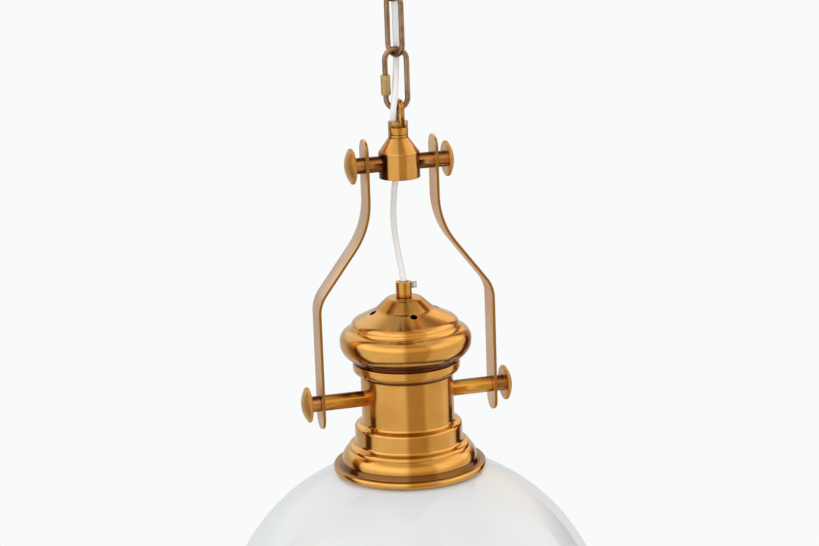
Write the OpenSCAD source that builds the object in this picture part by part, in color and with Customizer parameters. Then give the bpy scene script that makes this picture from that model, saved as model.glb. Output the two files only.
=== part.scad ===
// Pendant light: an open opal glass dome under a spun brass gallery with a vented cap.
// Two bent straps carry the gallery on knurled knobs and hang from a turned hub,
// a quick link, two chain links and a ceiling canopy. Millimetres, drawn in place.
// The ceiling is z = 0, the straps' pins lie along X, and left is -X.

/* [Ceiling] */
// Outer diameter of the canopy's rim
canopy_d = 110; // [104:1:140]
// Height of the canopy
canopy_h = 34; // [32:1:50]
// Wall of the spun canopy
canopy_wall = 1.2; // [0.8:0.1:2]
// How far the canopy's rim stands out from its side
canopy_rim = 1.5; // [0.5:0.1:3]
// Height of the canopy's rim
canopy_rim_h = 3; // [1:0.5:6]
// Outer radius of the canopy's lower corner
canopy_corner_r = 18; // [6:1:22]
// Length of the ceiling bracket
bracket_len = 96; // [90:1:98]
// Width of the ceiling bracket
bracket_w = 20; // [18:1:26]
// Thickness of the bracket's steel
bracket_t = 2; // [1.5:0.1:3]
// Depth from the ceiling to the underside of the bracket's middle
bracket_drop = 16; // [15:0.5:17]
// Length of the bracket's flat middle
bracket_middle = 54; // [52:1:58]
// Distance between the centres of the two screw slots
slot_spacing = 80; // [78:1:82]
// Overall length of a screw slot
slot_len = 9; // [7:0.5:10]
// Width of a screw slot
slot_w = 5; // [4:0.5:6]
// Length of the terminal block across the bracket
block_len = 16; // [14:1:20]
// Width of the terminal block along the bracket
block_w = 14.4; // [13.6:0.2:15]
// Height of the terminal block
block_h = 12; // [10:0.5:13]
// Distance between the block's two poles
pole_spacing = 8; // [7.6:0.2:8.4]

/* [Chain] */
// Diameter of the chain's wire
wire_d = 4; // [3:0.1:4.4]
// Outer length of a chain link
link_len = 49; // [44:1:56]
// Outer width of a chain link and of the quick link
link_w = 20; // [19:0.5:24]
// Outer length of the quick link
quick_link_len = 48; // [46:1:56]
// Length of the quick link's sleeve nut
sleeve_nut_len = 15; // [12:0.5:16]
// Distance across the flats of the sleeve nut
sleeve_nut_w = 6.8; // [6.4:0.1:7.4]
// Gate that the sleeve nut closes
gate_gap = 6; // [5:0.5:7]
// Direction of the upper link's plane, in degrees from X
upper_link_turn = 24; // [24:1:30]
// Direction of the quick link's plane, in degrees from X
quick_link_turn = -6; // [-6:1:0]
// Clearance where wires hang in each other
link_gap = 0.3; // [0.2:0.05:0.5]

/* [Eyes] */
// Diameter of an eye's bar
eye_bar_d = 4.8; // [4:0.1:5]
// Radius of an eye's bow, to the bar's centre
eye_loop_r = 5.2; // [5.2:0.1:6]
// Distance from an eye's base to the far bar's centre
eye_rise = 14.2; // [12.2:0.5:18.2]
// Offset of the bow that leaves room for the cable
eye_shift = 1.4; // [1.2:0.1:1.6]
// Diameter of an eye's round base
eye_base_d = 14.8; // [14.4:0.1:17]
// Thickness of an eye's round base
eye_base_t = 4.3; // [3:0.1:6]
// Outer diameter of an eye's threaded stem
stem_d = 12.4; // [12:0.1:12.8]
// Bore of an eye's stem
stem_bore = 10.4; // [9.8:0.1:10.6]
// Diameter of the cable's hole through an eye's base
eye_hole_d = 6.4; // [6:0.1:6.6]
// Distance of that hole from the stem's axis
eye_hole_x = 2.9; // [2.7:0.1:3]

/* [Hub] */
// Diameter of the hub
hub_d = 30.6; // [28:0.2:34]
// Height of the hub's straight lower part
hub_h = 19; // [18:0.5:26]
// Height of the hub's cone
hub_cone_h = 11; // [9:0.5:16]
// Height of the neck ring at the top of the hub
hub_neck_h = 2.2; // [1.5:0.1:4]
// Height of the collar between the hub and its eye
collar_h = 5.5; // [4:0.5:8]
// Bore of the hub, for the cable
hub_bore = 15; // [13:0.5:17]
// Height of the upper pins above the hub's underside
hub_pin_h = 11; // [9:0.5:12]

/* [Knobs and pins] */
// Diameter of a knob's head
knob_d = 26.4; // [22:0.2:30]
// Thickness of the head's knurled rim
knob_rim_t = 2; // [1.5:0.1:3]
// Rise of the head's dome above its rim
knob_dome = 3.9; // [2:0.1:6]
// Length of a knob's round shank, outside the strap
shank_len = 7.6; // [5:0.2:12]
// Diameter of the shanks and of the spacer tubes
shank_d = 12; // [10:0.5:14]
// Diameter of a knob's stud
stud_d = 6; // [5:0.5:7]
// Length of a stud inside the hub or the body
stud_grip = 8; // [7.4:0.1:8.6]
// Running clearance round a stud
stud_fit = 0.05; // [0.02:0.01:0.1]
// Gap on each side of a strap
strap_gap = 0.2; // [0.1:0.05:0.4]

/* [Yoke] */
// Width of a strap
strap_w = 19.5; // [17:0.5:24]
// Thickness of a strap
strap_t = 2.2; // [1.6:0.1:3]
// Distance of a strap's middle from the axis at the upper pins
strap_top_x = 26.5; // [25:0.5:32]
// Distance of a strap's middle from the axis at the lower pins
strap_low_x = 67.2; // [63:0.2:76]
// Height of the upper pins above the lower pins
pin_distance = 177.2; // [170:0.2:200]
// Distance from a pin to the strap's rounded end
strap_end = 19.5; // [14:0.5:24]
// Distance from the upper pin down to the strap's bend
strap_straight = 25.4; // [20:0.2:36]
// Radius of the upper bend, to the strap's middle
upper_bend_r = 60; // [40:1:70]
// Radius of the lower bend, to the strap's middle
lower_bend_r = 25; // [15:1:35]
// Angle of the slanted run from the vertical
strap_slant = 37.2; // [33:0.2:45]

/* [Cap] */
// Greatest diameter of the vented cap
cap_d = 99; // [96:1:110]
// Height of the vented cap
cap_h = 51.6; // [49:0.2:58]
// Wall of the spun cap
cap_wall = 1.2; // [0.8:0.1:1.6]
// Radius under the cap's big roll
roll_r = 13; // [12:0.5:14]
// Radius over the cap's big roll
roll_top_r = 6; // [4:0.5:8]
// Height of the straight band between the two
roll_band = 3; // [1:0.5:5]
// Diameter of the cap's shoulder
shoulder_d = 90.4; // [86:0.2:94]
// Radius of the shoulder's curve
shoulder_r = 21.2; // [20:0.2:24]
// Radius of the hollow between shoulder and crown
cove_r = 8.7; // [7:0.1:10]
// Height of the crown above the shoulder
crown_rise = 8.6; // [8:0.1:9.2]
// Diameter of the crown
crown_d = 38.6; // [34:0.2:42]
// Radius of the crown's edge
crown_r = 6.2; // [4:0.1:8]
// Diameter of a vent hole
vent_d = 5.5; // [3:0.1:7]
// Radius of the circle of vent holes
vent_circle_r = 24.5; // [22:0.1:27]
// Number of vent holes
vents = 4; // [3:1:8]
// Height of the cord grip above the crown
grip_h = 11.6; // [10:0.2:20]
// Diameter of the cord grip
grip_d = 12; // [11.6:0.1:15]
// Bore of the cord grip beside the cable
grip_bore = 6.6; // [5.4:0.1:8]
// Diameter of the cord grip's nylon screw
grip_screw_d = 3; // [2:0.1:4]
// Diameter of that screw's head
grip_screw_head_d = 5; // [4.4:0.1:5.6]

/* [Gallery body] */
// Outer diameter over the rolled rim
gallery_d = 116; // [112:1:120]
// Diameter of the rolled rim's bead
rim_bead_d = 6; // [4:0.2:6]
// Diameter at the foot of the flare
flare_foot_d = 104; // [102:1:106]
// Radius of the flare
flare_r = 14; // [13:0.5:16]
// Height of the flare's foot above the rim's centre line
flare_lift = 6.5; // [5:0.5:9]
// Diameter of the flare's upper edge
flare_top_d = 92; // [90:0.5:94]
// Radius of the lower shoulder
lower_shoulder_r = 3; // [2:0.5:4]
// Diameter of the lower barrel
lower_barrel_d = 80.2; // [78:0.2:84]
// Height of the lower barrel
lower_barrel_h = 13; // [8:0.5:20]
// Radius of the upper shoulder
upper_shoulder_r = 4; // [3:0.2:5]
// Diameter of the barrel
barrel_d = 69.8; // [68:0.2:71]
// Height of the barrel
barrel_h = 39.2; // [37:0.2:50]
// Wall of the spun body
body_wall = 1; // [0.8:0.1:1.4]
// Height of the lower pins above the barrel's foot
pin_rise = 16.8; // [14:0.2:20]
// Height of the ring under the cap
neck_ring_h = 8.4; // [6:0.2:11]
// How far that ring's upper edge stands out from the barrel
neck_ring_reach = 5.5; // [4.5:0.1:8]
// How far that ring's lower edge stands out from the barrel
neck_ring_foot = 1.8; // [1.6:0.1:4]
// Thickness of the ring's upper lip
neck_lip = 1.3; // [1:0.1:2]

/* [Inside the body] */
// Outer diameter of the threaded lamp tube
tube_d = 10; // [9.6:0.1:10.2]
// Bore of the lamp tube
tube_bore = 7; // [6:0.1:7.4]
// Thickness of the bridge plate's steel
bridge_t = 1.6; // [1.2:0.1:2]
// Width of the bridge plate
bridge_w = 16; // [14:0.5:18]
// Height of the bridge's web above the lower pins
bridge_rise = 11.2; // [10:0.2:13]
// Length of a bridge arm below the lower pins
bridge_foot = 9; // [7:0.5:12]
// Distance across the flats of the tube's nuts
tube_nut_w = 14; // [13:0.5:17]
// Thickness of the tube's nuts
tube_nut_h = 3; // [2:0.5:4]
// Distance across the flats of the pins' nuts
pin_nut_w = 10; // [9:0.5:12]
// Thickness of the pins' nuts
pin_nut_h = 5; // [4:0.2:5.4]

/* [Lampholder] */
// Outer diameter of the holder's threaded shell
holder_d = 39.6; // [39:0.1:40]
// Wall of the holder's shell and cap
holder_wall = 1.2; // [1:0.1:1.4]
// Depth of the holder's mouth below the rim's centre line
holder_mouth = 14; // [12:0.5:18]
// Height of the holder's cap above the rim's centre line
holder_top = 50; // [48:0.5:51]
// Height of the cap's lower edge above the rim's centre line
holder_cap_edge = 20; // [18:0.5:22]
// Diameter of the bulb's screw base
bulb_base_d = 26.2; // [26:0.05:26.3]
// Play of that base in the socket's thread, across its diameter
socket_play = 0.3; // [0.2:0.05:0.5]
// Greatest diameter of the bulb
bulb_d = 60; // [50:1:70]
// Length of the bulb from its tip to its far end
bulb_len = 107; // [98:1:120]

/* [Shade] */
// Diameter of the glass dome
shade_d = 300; // [280:2:320]
// Thickness of the glass
glass_t = 3.2; // [2.6:0.1:4]
// Height of the straight skirt below the dome's widest line
skirt_h = 15; // [8:1:30]
// Diameter of the hole in the top of the glass
neck_hole_d = 42; // [41.6:0.2:44]
// Thickness of the rim's round gasket
rim_gasket_d = 4; // [3:0.2:4.4]
// Outer diameter of the clamping ring and its gasket
shade_ring_d = 56.8; // [52:0.4:62]
// Thickness of the clamping ring's flange
shade_ring_t = 2.5; // [2:0.1:3]
// Height of the clamping ring's sleeve
shade_ring_h = 7; // [5:0.5:8]
// Depth of the clamping ring below the rim's centre line
shade_ring_drop = 1.5; // [1.2:0.1:2]

/* [Cable] */
// Diameter of the clear two-core cable
cable_d = 4.6; // [4:0.1:4.8]
// Diameter of a core
core_d = 2; // [1.6:0.1:2.2]

/* [Hidden] */
$fn = 64;
// How far a cutting solid runs past the face it opens
cut = 1;
// Radial play of threads and slip fits, which are drawn plain
slip = 0.05;
// Clearance where separate pieces of one body rest on each other
seat = 0.05;
// Width of the inturned lips by which the cap and the body meet the neck ring
lip_w = 5;

brass = [0.78, 0.55, 0.24];
chain_brass = [0.55, 0.42, 0.27];
steel = [0.7, 0.71, 0.72];
porcelain = [0.93, 0.92, 0.88];
rubber = [0.82, 0.83, 0.82];
clear_plastic = [0.86, 0.88, 0.88];

// Heights, worked out downwards from the ceiling
link_w_mid = link_w - wire_d;
link_bow_r = link_w_mid / 2;
// A link's bow passes the eye's offset bow on its slope, so they hang further apart than their bars
eye_hang = link_bow_r - sqrt(pow(link_bow_r - (eye_bar_d + wire_d) / 2 - link_gap, 2) - pow(eye_shift, 2));
canopy_eye_z = -canopy_h - eye_base_t - eye_rise;
upper_link_top = canopy_eye_z + eye_hang;
upper_link_low = upper_link_top - (link_len - wire_d);
lower_link_top = upper_link_low + wire_d + link_gap;
lower_link_low = lower_link_top - (link_len - wire_d);
quick_link_top = lower_link_low + wire_d + link_gap;
quick_link_low = quick_link_top - (quick_link_len - wire_d);
hub_eye_z = quick_link_low + eye_hang;
collar_top_z = hub_eye_z - eye_rise - eye_base_t;
hub_top_z = collar_top_z - collar_h;
hub_low_z = hub_top_z - hub_neck_h - hub_cone_h - hub_h;
upper_pin_z = hub_low_z + hub_pin_h;
lower_pin_z = upper_pin_z - pin_distance;

// Heights above the rim's centre line
flare_mid_r = flare_foot_d / 2 - flare_r;
flare_top_z = flare_lift + sqrt(pow(flare_r, 2) - pow(flare_top_d / 2 - flare_mid_r, 2));
lower_barrel_z = flare_top_z + lower_shoulder_r;
upper_shoulder_z = lower_barrel_z + lower_barrel_h;
barrel_z = upper_shoulder_z + upper_shoulder_r;
rim_to_pin = barrel_z + pin_rise;
rim_z = lower_pin_z - rim_to_pin;
body_top = barrel_z + barrel_h;
cap_seat = body_top + neck_lip;
crown_top = cap_seat + cap_h;
grip_top = crown_top + grip_h;

// The glass sphere touches the rolled rim from below
glass_r = shade_d / 2;
bead_r = rim_bead_d / 2;
bead_mid_r = gallery_d / 2 - bead_r;
glass_mid_z = -sqrt(pow(glass_r + bead_r + 0.3, 2) - pow(bead_mid_r, 2));

// The spacers end on the straps' inner faces
strap_top_in = strap_top_x - strap_t / 2 - strap_gap;
strap_low_in = strap_low_x - strap_t / 2 - strap_gap;

function arc(x, y, r, from, to, steps) =
    [for (i = [0:steps]) let (a = from + (to - from) * i / steps) [x + r * cos(a), y + r * sin(a)]];
function reverse(list) = [for (i = [len(list) - 1:-1:0]) list[i]];

module ring(outer_d, inner_d, height) {
    difference() {
        cylinder(d = outer_d, h = height);
        translate([0, 0, -cut]) cylinder(d = inner_d, h = height + 2 * cut);
    }
}

module hex_nut(across, bore, height) {
    difference() {
        cylinder(r = across / 2 / cos(30), h = height, $fn = 6);
        translate([0, 0, -cut]) cylinder(d = bore, h = height + 2 * cut);
    }
}

// A round tube along route points: each ring stands square to the run through its point
function unit(v) = v / norm(v);
function heading(route, i) =
    unit(route[min(i + 1, len(route) - 1)] - route[max(i - 1, 0)]);
function ring_at(route, i, r, sides, ends) =
    let (level = i == 0 || i == len(route) - 1,
         along = level ? ends : heading(route, i),
         side = unit(cross(along, [0.3, 1, 0])),
         up = cross(side, along))
    [for (k = [0:sides - 1]) route[i] + r * (cos(360 * k / sides) * side + sin(360 * k / sides) * up)];

module tube_along(route, d, sides = 10, ends = [0, 0, -1]) {
    n = len(route);
    points = [for (i = [0:n - 1]) each ring_at(route, i, d / 2, sides, ends)];
    sides_of = [for (i = [0:n - 2], k = [0:sides - 1])
        let (a = i * sides + k, b = i * sides + (k + 1) % sides)
        each [[a, b, b + sides], [a, b + sides, a + sides]]];
    polyhedron(points = points, faces = concat(
        [[for (k = [sides - 1:-1:0]) k]], sides_of, [[for (k = [0:sides - 1]) (n - 1) * sides + k]]));
}

// Ceiling assembly

module ceiling_bracket() {
    middle = bracket_middle / 2;
    foot = middle + 5;
    lean = (foot - middle) / (bracket_drop - bracket_t);
    flank = bracket_t * sqrt(1 + pow(lean, 2));
    upper_line = [[bracket_len / 2, 0], [foot, 0], [middle, bracket_t - bracket_drop]];
    lower_line = [[middle - bracket_t * lean + flank, -bracket_drop],
        [foot - bracket_t * lean + flank, -bracket_t], [bracket_len / 2, -bracket_t]];
    half = concat(upper_line, [[0, bracket_t - bracket_drop], [0, -bracket_drop]], lower_line);
    color(steel) difference() {
        union() for (side = [0, 1]) mirror([side, 0, 0])
            rotate([90, 0, 0]) linear_extrude(bracket_w, center = true) polygon(half);
        translate([0, 0, -bracket_drop - cut]) cylinder(d = stem_d + 0.4, h = bracket_t + 2 * cut);
        for (x = [-1, 1]) {
            for (end = [-1, 1])
                translate([x * slot_spacing / 2 + end * (slot_len - slot_w) / 2, 0, -bracket_t - cut])
                    cylinder(d = slot_w, h = bracket_t + 2 * cut);
            translate([x * slot_spacing / 2, 0, -bracket_t / 2])
                cube([slot_len - slot_w, slot_w, bracket_t + 2 * cut], center = true);
        }
        translate([block_x, 0, -bracket_drop - cut]) cylinder(d = 3.2, h = bracket_t + 2 * cut);
    }
}

function canopy_line(wall) = concat(
    [[canopy_d / 2 - canopy_rim - wall, cut * sign(wall)]],
    arc(canopy_d / 2 - canopy_rim - canopy_corner_r, canopy_corner_r - canopy_h,
        canopy_corner_r - wall, 0, -90, 10));

module canopy_cup() {
    color(brass) difference() {
        union() {
            rotate_extrude() polygon(concat([[0, 0]], canopy_line(0), [[0, -canopy_h]]));
            translate([0, 0, -canopy_rim_h]) cylinder(d = canopy_d, h = canopy_rim_h);
        }
        rotate_extrude() polygon(concat([[0, cut]], canopy_line(canopy_wall), [[0, canopy_wall - canopy_h]]));
        translate([0, 0, -canopy_h - cut]) cylinder(d = stem_d + 0.4, h = canopy_wall + 2 * cut);
    }
}

// A cast eye with its base's face at z = 0, its bow upwards and its stem downwards
module eye_casting(stem_len) {
    leg = eye_rise - eye_loop_r;
    difference() {
        union() {
            translate([0, 0, -eye_base_t]) cylinder(d = eye_base_d, h = eye_base_t);
            translate([0, 0, -eye_base_t - stem_len]) cylinder(d = stem_d, h = stem_len);
            for (y = [-1, 1])
                translate([eye_shift, y * eye_loop_r, -eye_base_t / 2])
                    cylinder(d = eye_bar_d, h = leg + eye_base_t / 2);
            translate([eye_shift, 0, leg]) rotate([90, 0, 90])
                rotate_extrude(angle = 180) translate([eye_loop_r, 0]) circle(d = eye_bar_d);
        }
        translate([0, 0, -eye_base_t - stem_len - cut]) cylinder(d = stem_bore, h = stem_len + cut);
        translate([-eye_hole_x, 0, -eye_base_t - cut]) cylinder(d = eye_hole_d, h = eye_base_t + 2 * cut);
    }
}

lock_nut_h = 4;
clamp_nut_h = 5;
stem_nut_w = 17;
canopy_stem_top = -bracket_drop + bracket_t + lock_nut_h + 2;

module canopy_eye() {
    color(brass) translate([0, 0, -canopy_h - eye_base_t]) rotate([0, 180, upper_link_turn])
        eye_casting(canopy_h + canopy_stem_top);
}

module canopy_lock_nut() {
    color(steel) translate([0, 0, bracket_t - bracket_drop]) hex_nut(stem_nut_w, stem_d + 2 * slip, lock_nut_h);
}

module canopy_clamp_nut() {
    color(steel) translate([0, 0, -bracket_drop - clamp_nut_h]) hex_nut(stem_nut_w, stem_d + 2 * slip, clamp_nut_h);
}

block_x = stem_nut_w / 2 / cos(30) + 1 + block_w / 2;
pole_x = [block_x - pole_spacing / 2, block_x + pole_spacing / 2];
pole_z = -bracket_drop - block_h / 2;
pole_d = 4;
clamp_screw_d = 2.6;

module terminal_block() {
    color(porcelain) difference() {
        translate([block_x - block_w / 2, -block_len / 2, -bracket_drop - block_h])
            cube([block_w, block_len, block_h]);
        for (x = pole_x) {
            translate([x, 0, pole_z]) rotate([90, 0, 0])
                cylinder(d = pole_d + 2 * slip, h = block_len + 2 * cut, center = true);
            translate([x, 0, -bracket_drop - block_h - cut]) cylinder(d = clamp_screw_d + 1, h = block_h / 2 + cut);
        }
        translate([block_x, 0, -bracket_drop - block_h - cut]) cylinder(d = 3 + 2 * slip, h = block_h + 2 * cut);
    }
}

module terminal_clamps() {
    color(brass) for (x = pole_x) difference() {
        union() {
            translate([x, 0, pole_z]) rotate([90, 0, 0]) cylinder(d = pole_d, h = block_len - 4, center = true);
            translate([x, 0, -bracket_drop - block_h + 1]) cylinder(d = clamp_screw_d, h = block_h / 2 - 2);
        }
        for (end = [0, 1]) mirror([0, end, 0])
            translate([x, block_len / 2, pole_z]) rotate([90, 0, 0]) cylinder(d = core_d + 0.6, h = 6);
    }
}

module block_screw() {
    color(steel) translate([block_x, 0, -bracket_drop - block_h]) {
        cylinder(d = 3, h = block_h + bracket_t);
        translate([0, 0, -2]) cylinder(d = 5.4, h = 2);
    }
}

// Cable inside the ceiling assembly, from the eye's hole up to the end of its sheath
cable_top = [eye_hole_x * cos(upper_link_turn), eye_hole_x * sin(upper_link_turn), -canopy_h - eye_base_t];
canopy_cable_route = [[0, 0, -11], [0, 0, -18], [0.3 * cable_top[0], 0.3 * cable_top[1], -25],
    [0.8 * cable_top[0], 0.8 * cable_top[1], 1.5 - canopy_h], cable_top];
left_core_route = [[-1.1, 0, -11], [-1, 1, -7.5], [1, 6, -4.6], [8, 12, -4.6], [pole_x[0], 15, -9],
    [pole_x[0], 15, -15], [pole_x[0], 12.4, pole_z + 0.8], [pole_x[0], block_len / 2, pole_z], [pole_x[0], 3.6, pole_z]];
right_core_route = [[1.1, 0, -11], [1.4, 0.8, -7.5], [6, 4, -4.6], [14, 10, -4.6], [pole_x[1], 14.6, -9],
    [pole_x[1], 15, -15], [pole_x[1], 12.4, pole_z + 0.8], [pole_x[1], block_len / 2, pole_z], [pole_x[1], 3.6, pole_z]];

module canopy_cable() {
    color(clear_plastic) tube_along(canopy_cable_route, cable_d);
}

module canopy_cores() {
    color(steel) for (route = [left_core_route, right_core_route]) tube_along(route, core_d, 8, [0, 0.02, 1]);
}

// Chain

// A link's bow: half a ring of wire, with its legs' ends at z = 0
module link_bow() {
    rotate([90, 0, 0]) rotate_extrude(angle = 180) translate([link_bow_r, 0]) circle(d = wire_d);
}

module link(top, low, turn) {
    rotate([0, 0, turn]) {
        translate([0, 0, top - link_bow_r]) link_bow();
        translate([0, 0, low + link_bow_r]) mirror([0, 0, 1]) link_bow();
        for (x = [-link_bow_r, link_bow_r]) translate([x, 0, low + link_bow_r])
            cylinder(d = wire_d, h = top - low - link_w_mid);
    }
}

module chain_link_upper() {
    color(chain_brass) link(upper_link_top, upper_link_low, upper_link_turn);
}

module chain_link_lower() {
    color(chain_brass) link(lower_link_top, lower_link_low, upper_link_turn - 90);
}

sleeve_nut_z = quick_link_low + link_bow_r + 2.4;
gate_z = sleeve_nut_z + 2;

module quick_link() {
    color(chain_brass) difference() {
        link(quick_link_top, quick_link_low, quick_link_turn);
        rotate([0, 0, quick_link_turn]) translate([-link_bow_r, 0, gate_z + gate_gap / 2])
            cube([wire_d + 2 * cut, wire_d + 2 * cut, gate_gap], center = true);
    }
}

module quick_link_nut() {
    color(chain_brass) rotate([0, 0, quick_link_turn]) translate([-link_bow_r, 0, sleeve_nut_z])
        hex_nut(sleeve_nut_w, wire_d + 2 * slip, sleeve_nut_len);
}

// Hub

hub_stem = collar_h + hub_neck_h + 6;
neck_r = eye_base_d / 2;
bevel = 0.5;

module hub_eye() {
    color(brass) translate([0, 0, collar_top_z + eye_base_t]) eye_casting(hub_stem);
}

module hub_collar() {
    bore_r = stem_d / 2 + slip;
    top_z = collar_h - seat;
    color(brass) translate([0, 0, hub_top_z]) rotate_extrude() polygon([[bore_r, 0], [neck_r - bevel, 0],
        [neck_r, bevel], [neck_r, top_z - bevel], [neck_r - bevel, top_z], [bore_r, top_z]]);
}

module hub_body() {
    cone_z = hub_low_z + hub_h;
    neck_z = cone_z + hub_cone_h;
    color(brass) difference() {
        rotate_extrude() polygon([[0, hub_low_z], [hub_d / 2 - bevel, hub_low_z], [hub_d / 2, hub_low_z + bevel],
            [hub_d / 2, cone_z], [neck_r + bevel / 2, neck_z], [neck_r, neck_z + bevel / 2],
            [neck_r, hub_top_z - bevel], [neck_r - bevel, hub_top_z - seat], [0, hub_top_z - seat]]);
        translate([0, 0, hub_top_z - hub_stem + collar_h - seat])
            cylinder(d = stem_d + 2 * slip, h = hub_stem + cut);
        translate([0, 0, hub_low_z - cut]) cylinder(d = hub_bore, h = hub_h - 2 + cut);
        translate([0, 0, hub_low_z]) cylinder(d = stem_bore, h = hub_h + hub_cone_h);
        for (side = [0, 1]) mirror([side, 0, 0]) translate([hub_bore / 2 - cut, 0, upper_pin_z]) rotate([0, 90, 0])
            cylinder(d = stud_d + 2 * stud_fit, h = hub_d);
    }
}

cable_low = [-eye_hole_x, 0, collar_top_z + eye_base_t];
hub_mouth = [-3, 0, hub_low_z];
hub_cable_route = [cable_low, [-eye_hole_x, 0, collar_top_z + 0.5], [-2.5, 0, hub_top_z],
    [-2.3, 0, hub_top_z - 10], [-2.5, 0, hub_top_z - 22], hub_mouth];

module hub_cable() {
    color(clear_plastic) tube_along(hub_cable_route, cable_d);
}

// Pins, knobs and straps, drawn on the right and mirrored for the left

module on_side(side) {
    if (side < 0) mirror([1, 0, 0]) children();
    else children();
}

// A tube on a pin, cut to seat on the round wall that it stands against
module spacer(wall_d, outer_x) {
    difference() {
        rotate([0, 90, 0]) cylinder(d = shank_d, h = outer_x);
        rotate([0, 90, 0]) translate([0, 0, -cut]) cylinder(d = stud_d + 0.4, h = outer_x + 2 * cut);
        translate([0, 0, -shank_d]) cylinder(d = wall_d + 2 * seat, h = 2 * shank_d);
    }
}

// A domed knob with its shank's face at x = shank_x and its stud's tip at x = tip_x
module knob(shank_x, tip_x) {
    chord = knob_d / 2 - 0.6;
    dome_r = (pow(chord, 2) + pow(knob_dome, 2)) / (2 * knob_dome);
    top = shank_len + knob_rim_t;
    head = concat(
        [[0, shank_len], [knob_d / 2 - 0.4, shank_len], [knob_d / 2, shank_len + 0.4], [knob_d / 2, top - 0.4]],
        arc(0, top + knob_dome - dome_r, dome_r, acos(chord / dome_r), 90, 8));
    translate([shank_x, 0, 0]) rotate([0, 90, 0]) {
        rotate_extrude() polygon(head);
        cylinder(d = shank_d, h = shank_len + cut);
        translate([0, 0, tip_x - shank_x]) cylinder(d = stud_d, h = shank_x - tip_x + cut);
    }
}

upper_shank_x = strap_top_x + strap_t / 2 + strap_gap;
lower_shank_x = strap_low_x + strap_t / 2 + strap_gap;
bridge_arm_x = sqrt(pow(barrel_d / 2 - body_wall, 2) - pow(bridge_w / 2, 2)) - 0.15;
lower_tip_x = bridge_arm_x - bridge_t - pin_nut_h - 0.4;

module upper_spacer(side) {
    color(brass) translate([0, 0, upper_pin_z]) on_side(side) spacer(hub_d, strap_top_in);
}

module upper_knob(side) {
    color(brass) translate([0, 0, upper_pin_z]) on_side(side) knob(upper_shank_x, hub_d / 2 - stud_grip + 0.6);
}

module lower_spacer(side) {
    color(brass) translate([0, 0, lower_pin_z]) on_side(side) spacer(barrel_d, strap_low_in);
}

module lower_knob(side) {
    color(brass) translate([0, 0, lower_pin_z]) on_side(side) knob(lower_shank_x, lower_tip_x);
}

// The strap's side view: its middle line shifted outwards by shift
upper_bend_z = upper_pin_z - strap_straight;
slant_run = strap_low_x - strap_top_x - (upper_bend_r + lower_bend_r) * (1 - cos(strap_slant));
lower_bend_z = upper_bend_z - (upper_bend_r + lower_bend_r) * sin(strap_slant) - slant_run / tan(strap_slant);
function strap_line(shift) = concat(
    [[strap_top_x + shift, upper_pin_z + strap_end]],
    arc(strap_top_x + upper_bend_r, upper_bend_z, upper_bend_r - shift, 180, 180 + strap_slant, 10),
    arc(strap_low_x - lower_bend_r, lower_bend_z, lower_bend_r + shift, strap_slant, 0, 8),
    [[strap_low_x + shift, lower_pin_z - strap_end]]);

module strap(side) {
    top_z = upper_pin_z + strap_end - strap_w / 2;
    low_z = lower_pin_z - strap_end + strap_w / 2;
    color(brass) on_side(side) difference() {
        intersection() {
            rotate([90, 0, 0]) linear_extrude(strap_w + 2 * cut, center = true)
                polygon(concat(strap_line(strap_t / 2), reverse(strap_line(-strap_t / 2))));
            rotate([90, 0, 90]) linear_extrude(strap_low_x + 2 * strap_t) union() {
                translate([-strap_w / 2, low_z]) square([strap_w, top_z - low_z]);
                for (z = [low_z, top_z]) translate([0, z]) circle(d = strap_w);
            }
        }
        for (pin = [[strap_top_x, upper_pin_z], [strap_low_x, lower_pin_z]])
            translate([pin[0] - strap_t, 0, pin[1]]) rotate([0, 90, 0])
                cylinder(d = stud_d + 2 * stud_fit, h = 2 * strap_t);
    }
}

// Gallery body, cap and what they hold, drawn above the rim's centre line

module at_rim() {
    translate([0, 0, rim_z]) children();
}

module pin_nut(side) {
    color(steel) translate([0, 0, lower_pin_z]) on_side(side)
        translate([bridge_arm_x - bridge_t - pin_nut_h - seat, 0, 0]) rotate([0, 90, 0])
            hex_nut(pin_nut_w, stud_d + 2 * stud_fit, pin_nut_h);
}

module bridge_plate() {
    web_z = rim_to_pin + bridge_rise;
    color(steel) at_rim() difference() {
        union() {
            translate([-bridge_arm_x, -bridge_w / 2, web_z]) cube([2 * bridge_arm_x, bridge_w, bridge_t]);
            for (x = [-bridge_arm_x, bridge_arm_x - bridge_t])
                translate([x, -bridge_w / 2, rim_to_pin - bridge_foot])
                    cube([bridge_t, bridge_w, bridge_rise + bridge_foot + bridge_t]);
        }
        translate([0, 0, web_z - cut]) cylinder(d = tube_d + 0.3, h = bridge_t + 2 * cut);
        translate([-bridge_arm_x - cut, 0, rim_to_pin]) rotate([0, 90, 0])
            cylinder(d = stud_d + 0.3, h = 2 * (bridge_arm_x + cut));
    }
}

tube_top = crown_top + 5.6;
tube_low = holder_top - 9;

module lamp_tube() {
    color(steel) at_rim() translate([0, 0, tube_low]) ring(tube_d, tube_bore, tube_top - tube_low);
}

module tube_nut_upper() {
    color(steel) at_rim() translate([0, 0, rim_to_pin + bridge_rise + bridge_t])
        hex_nut(tube_nut_w, tube_d + 2 * slip, tube_nut_h);
}

module tube_nut_lower() {
    color(steel) at_rim() translate([0, 0, rim_to_pin + bridge_rise - tube_nut_h])
        hex_nut(tube_nut_w, tube_d + 2 * slip, tube_nut_h);
}

grip_screw_z = grip_top - 3;

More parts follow.
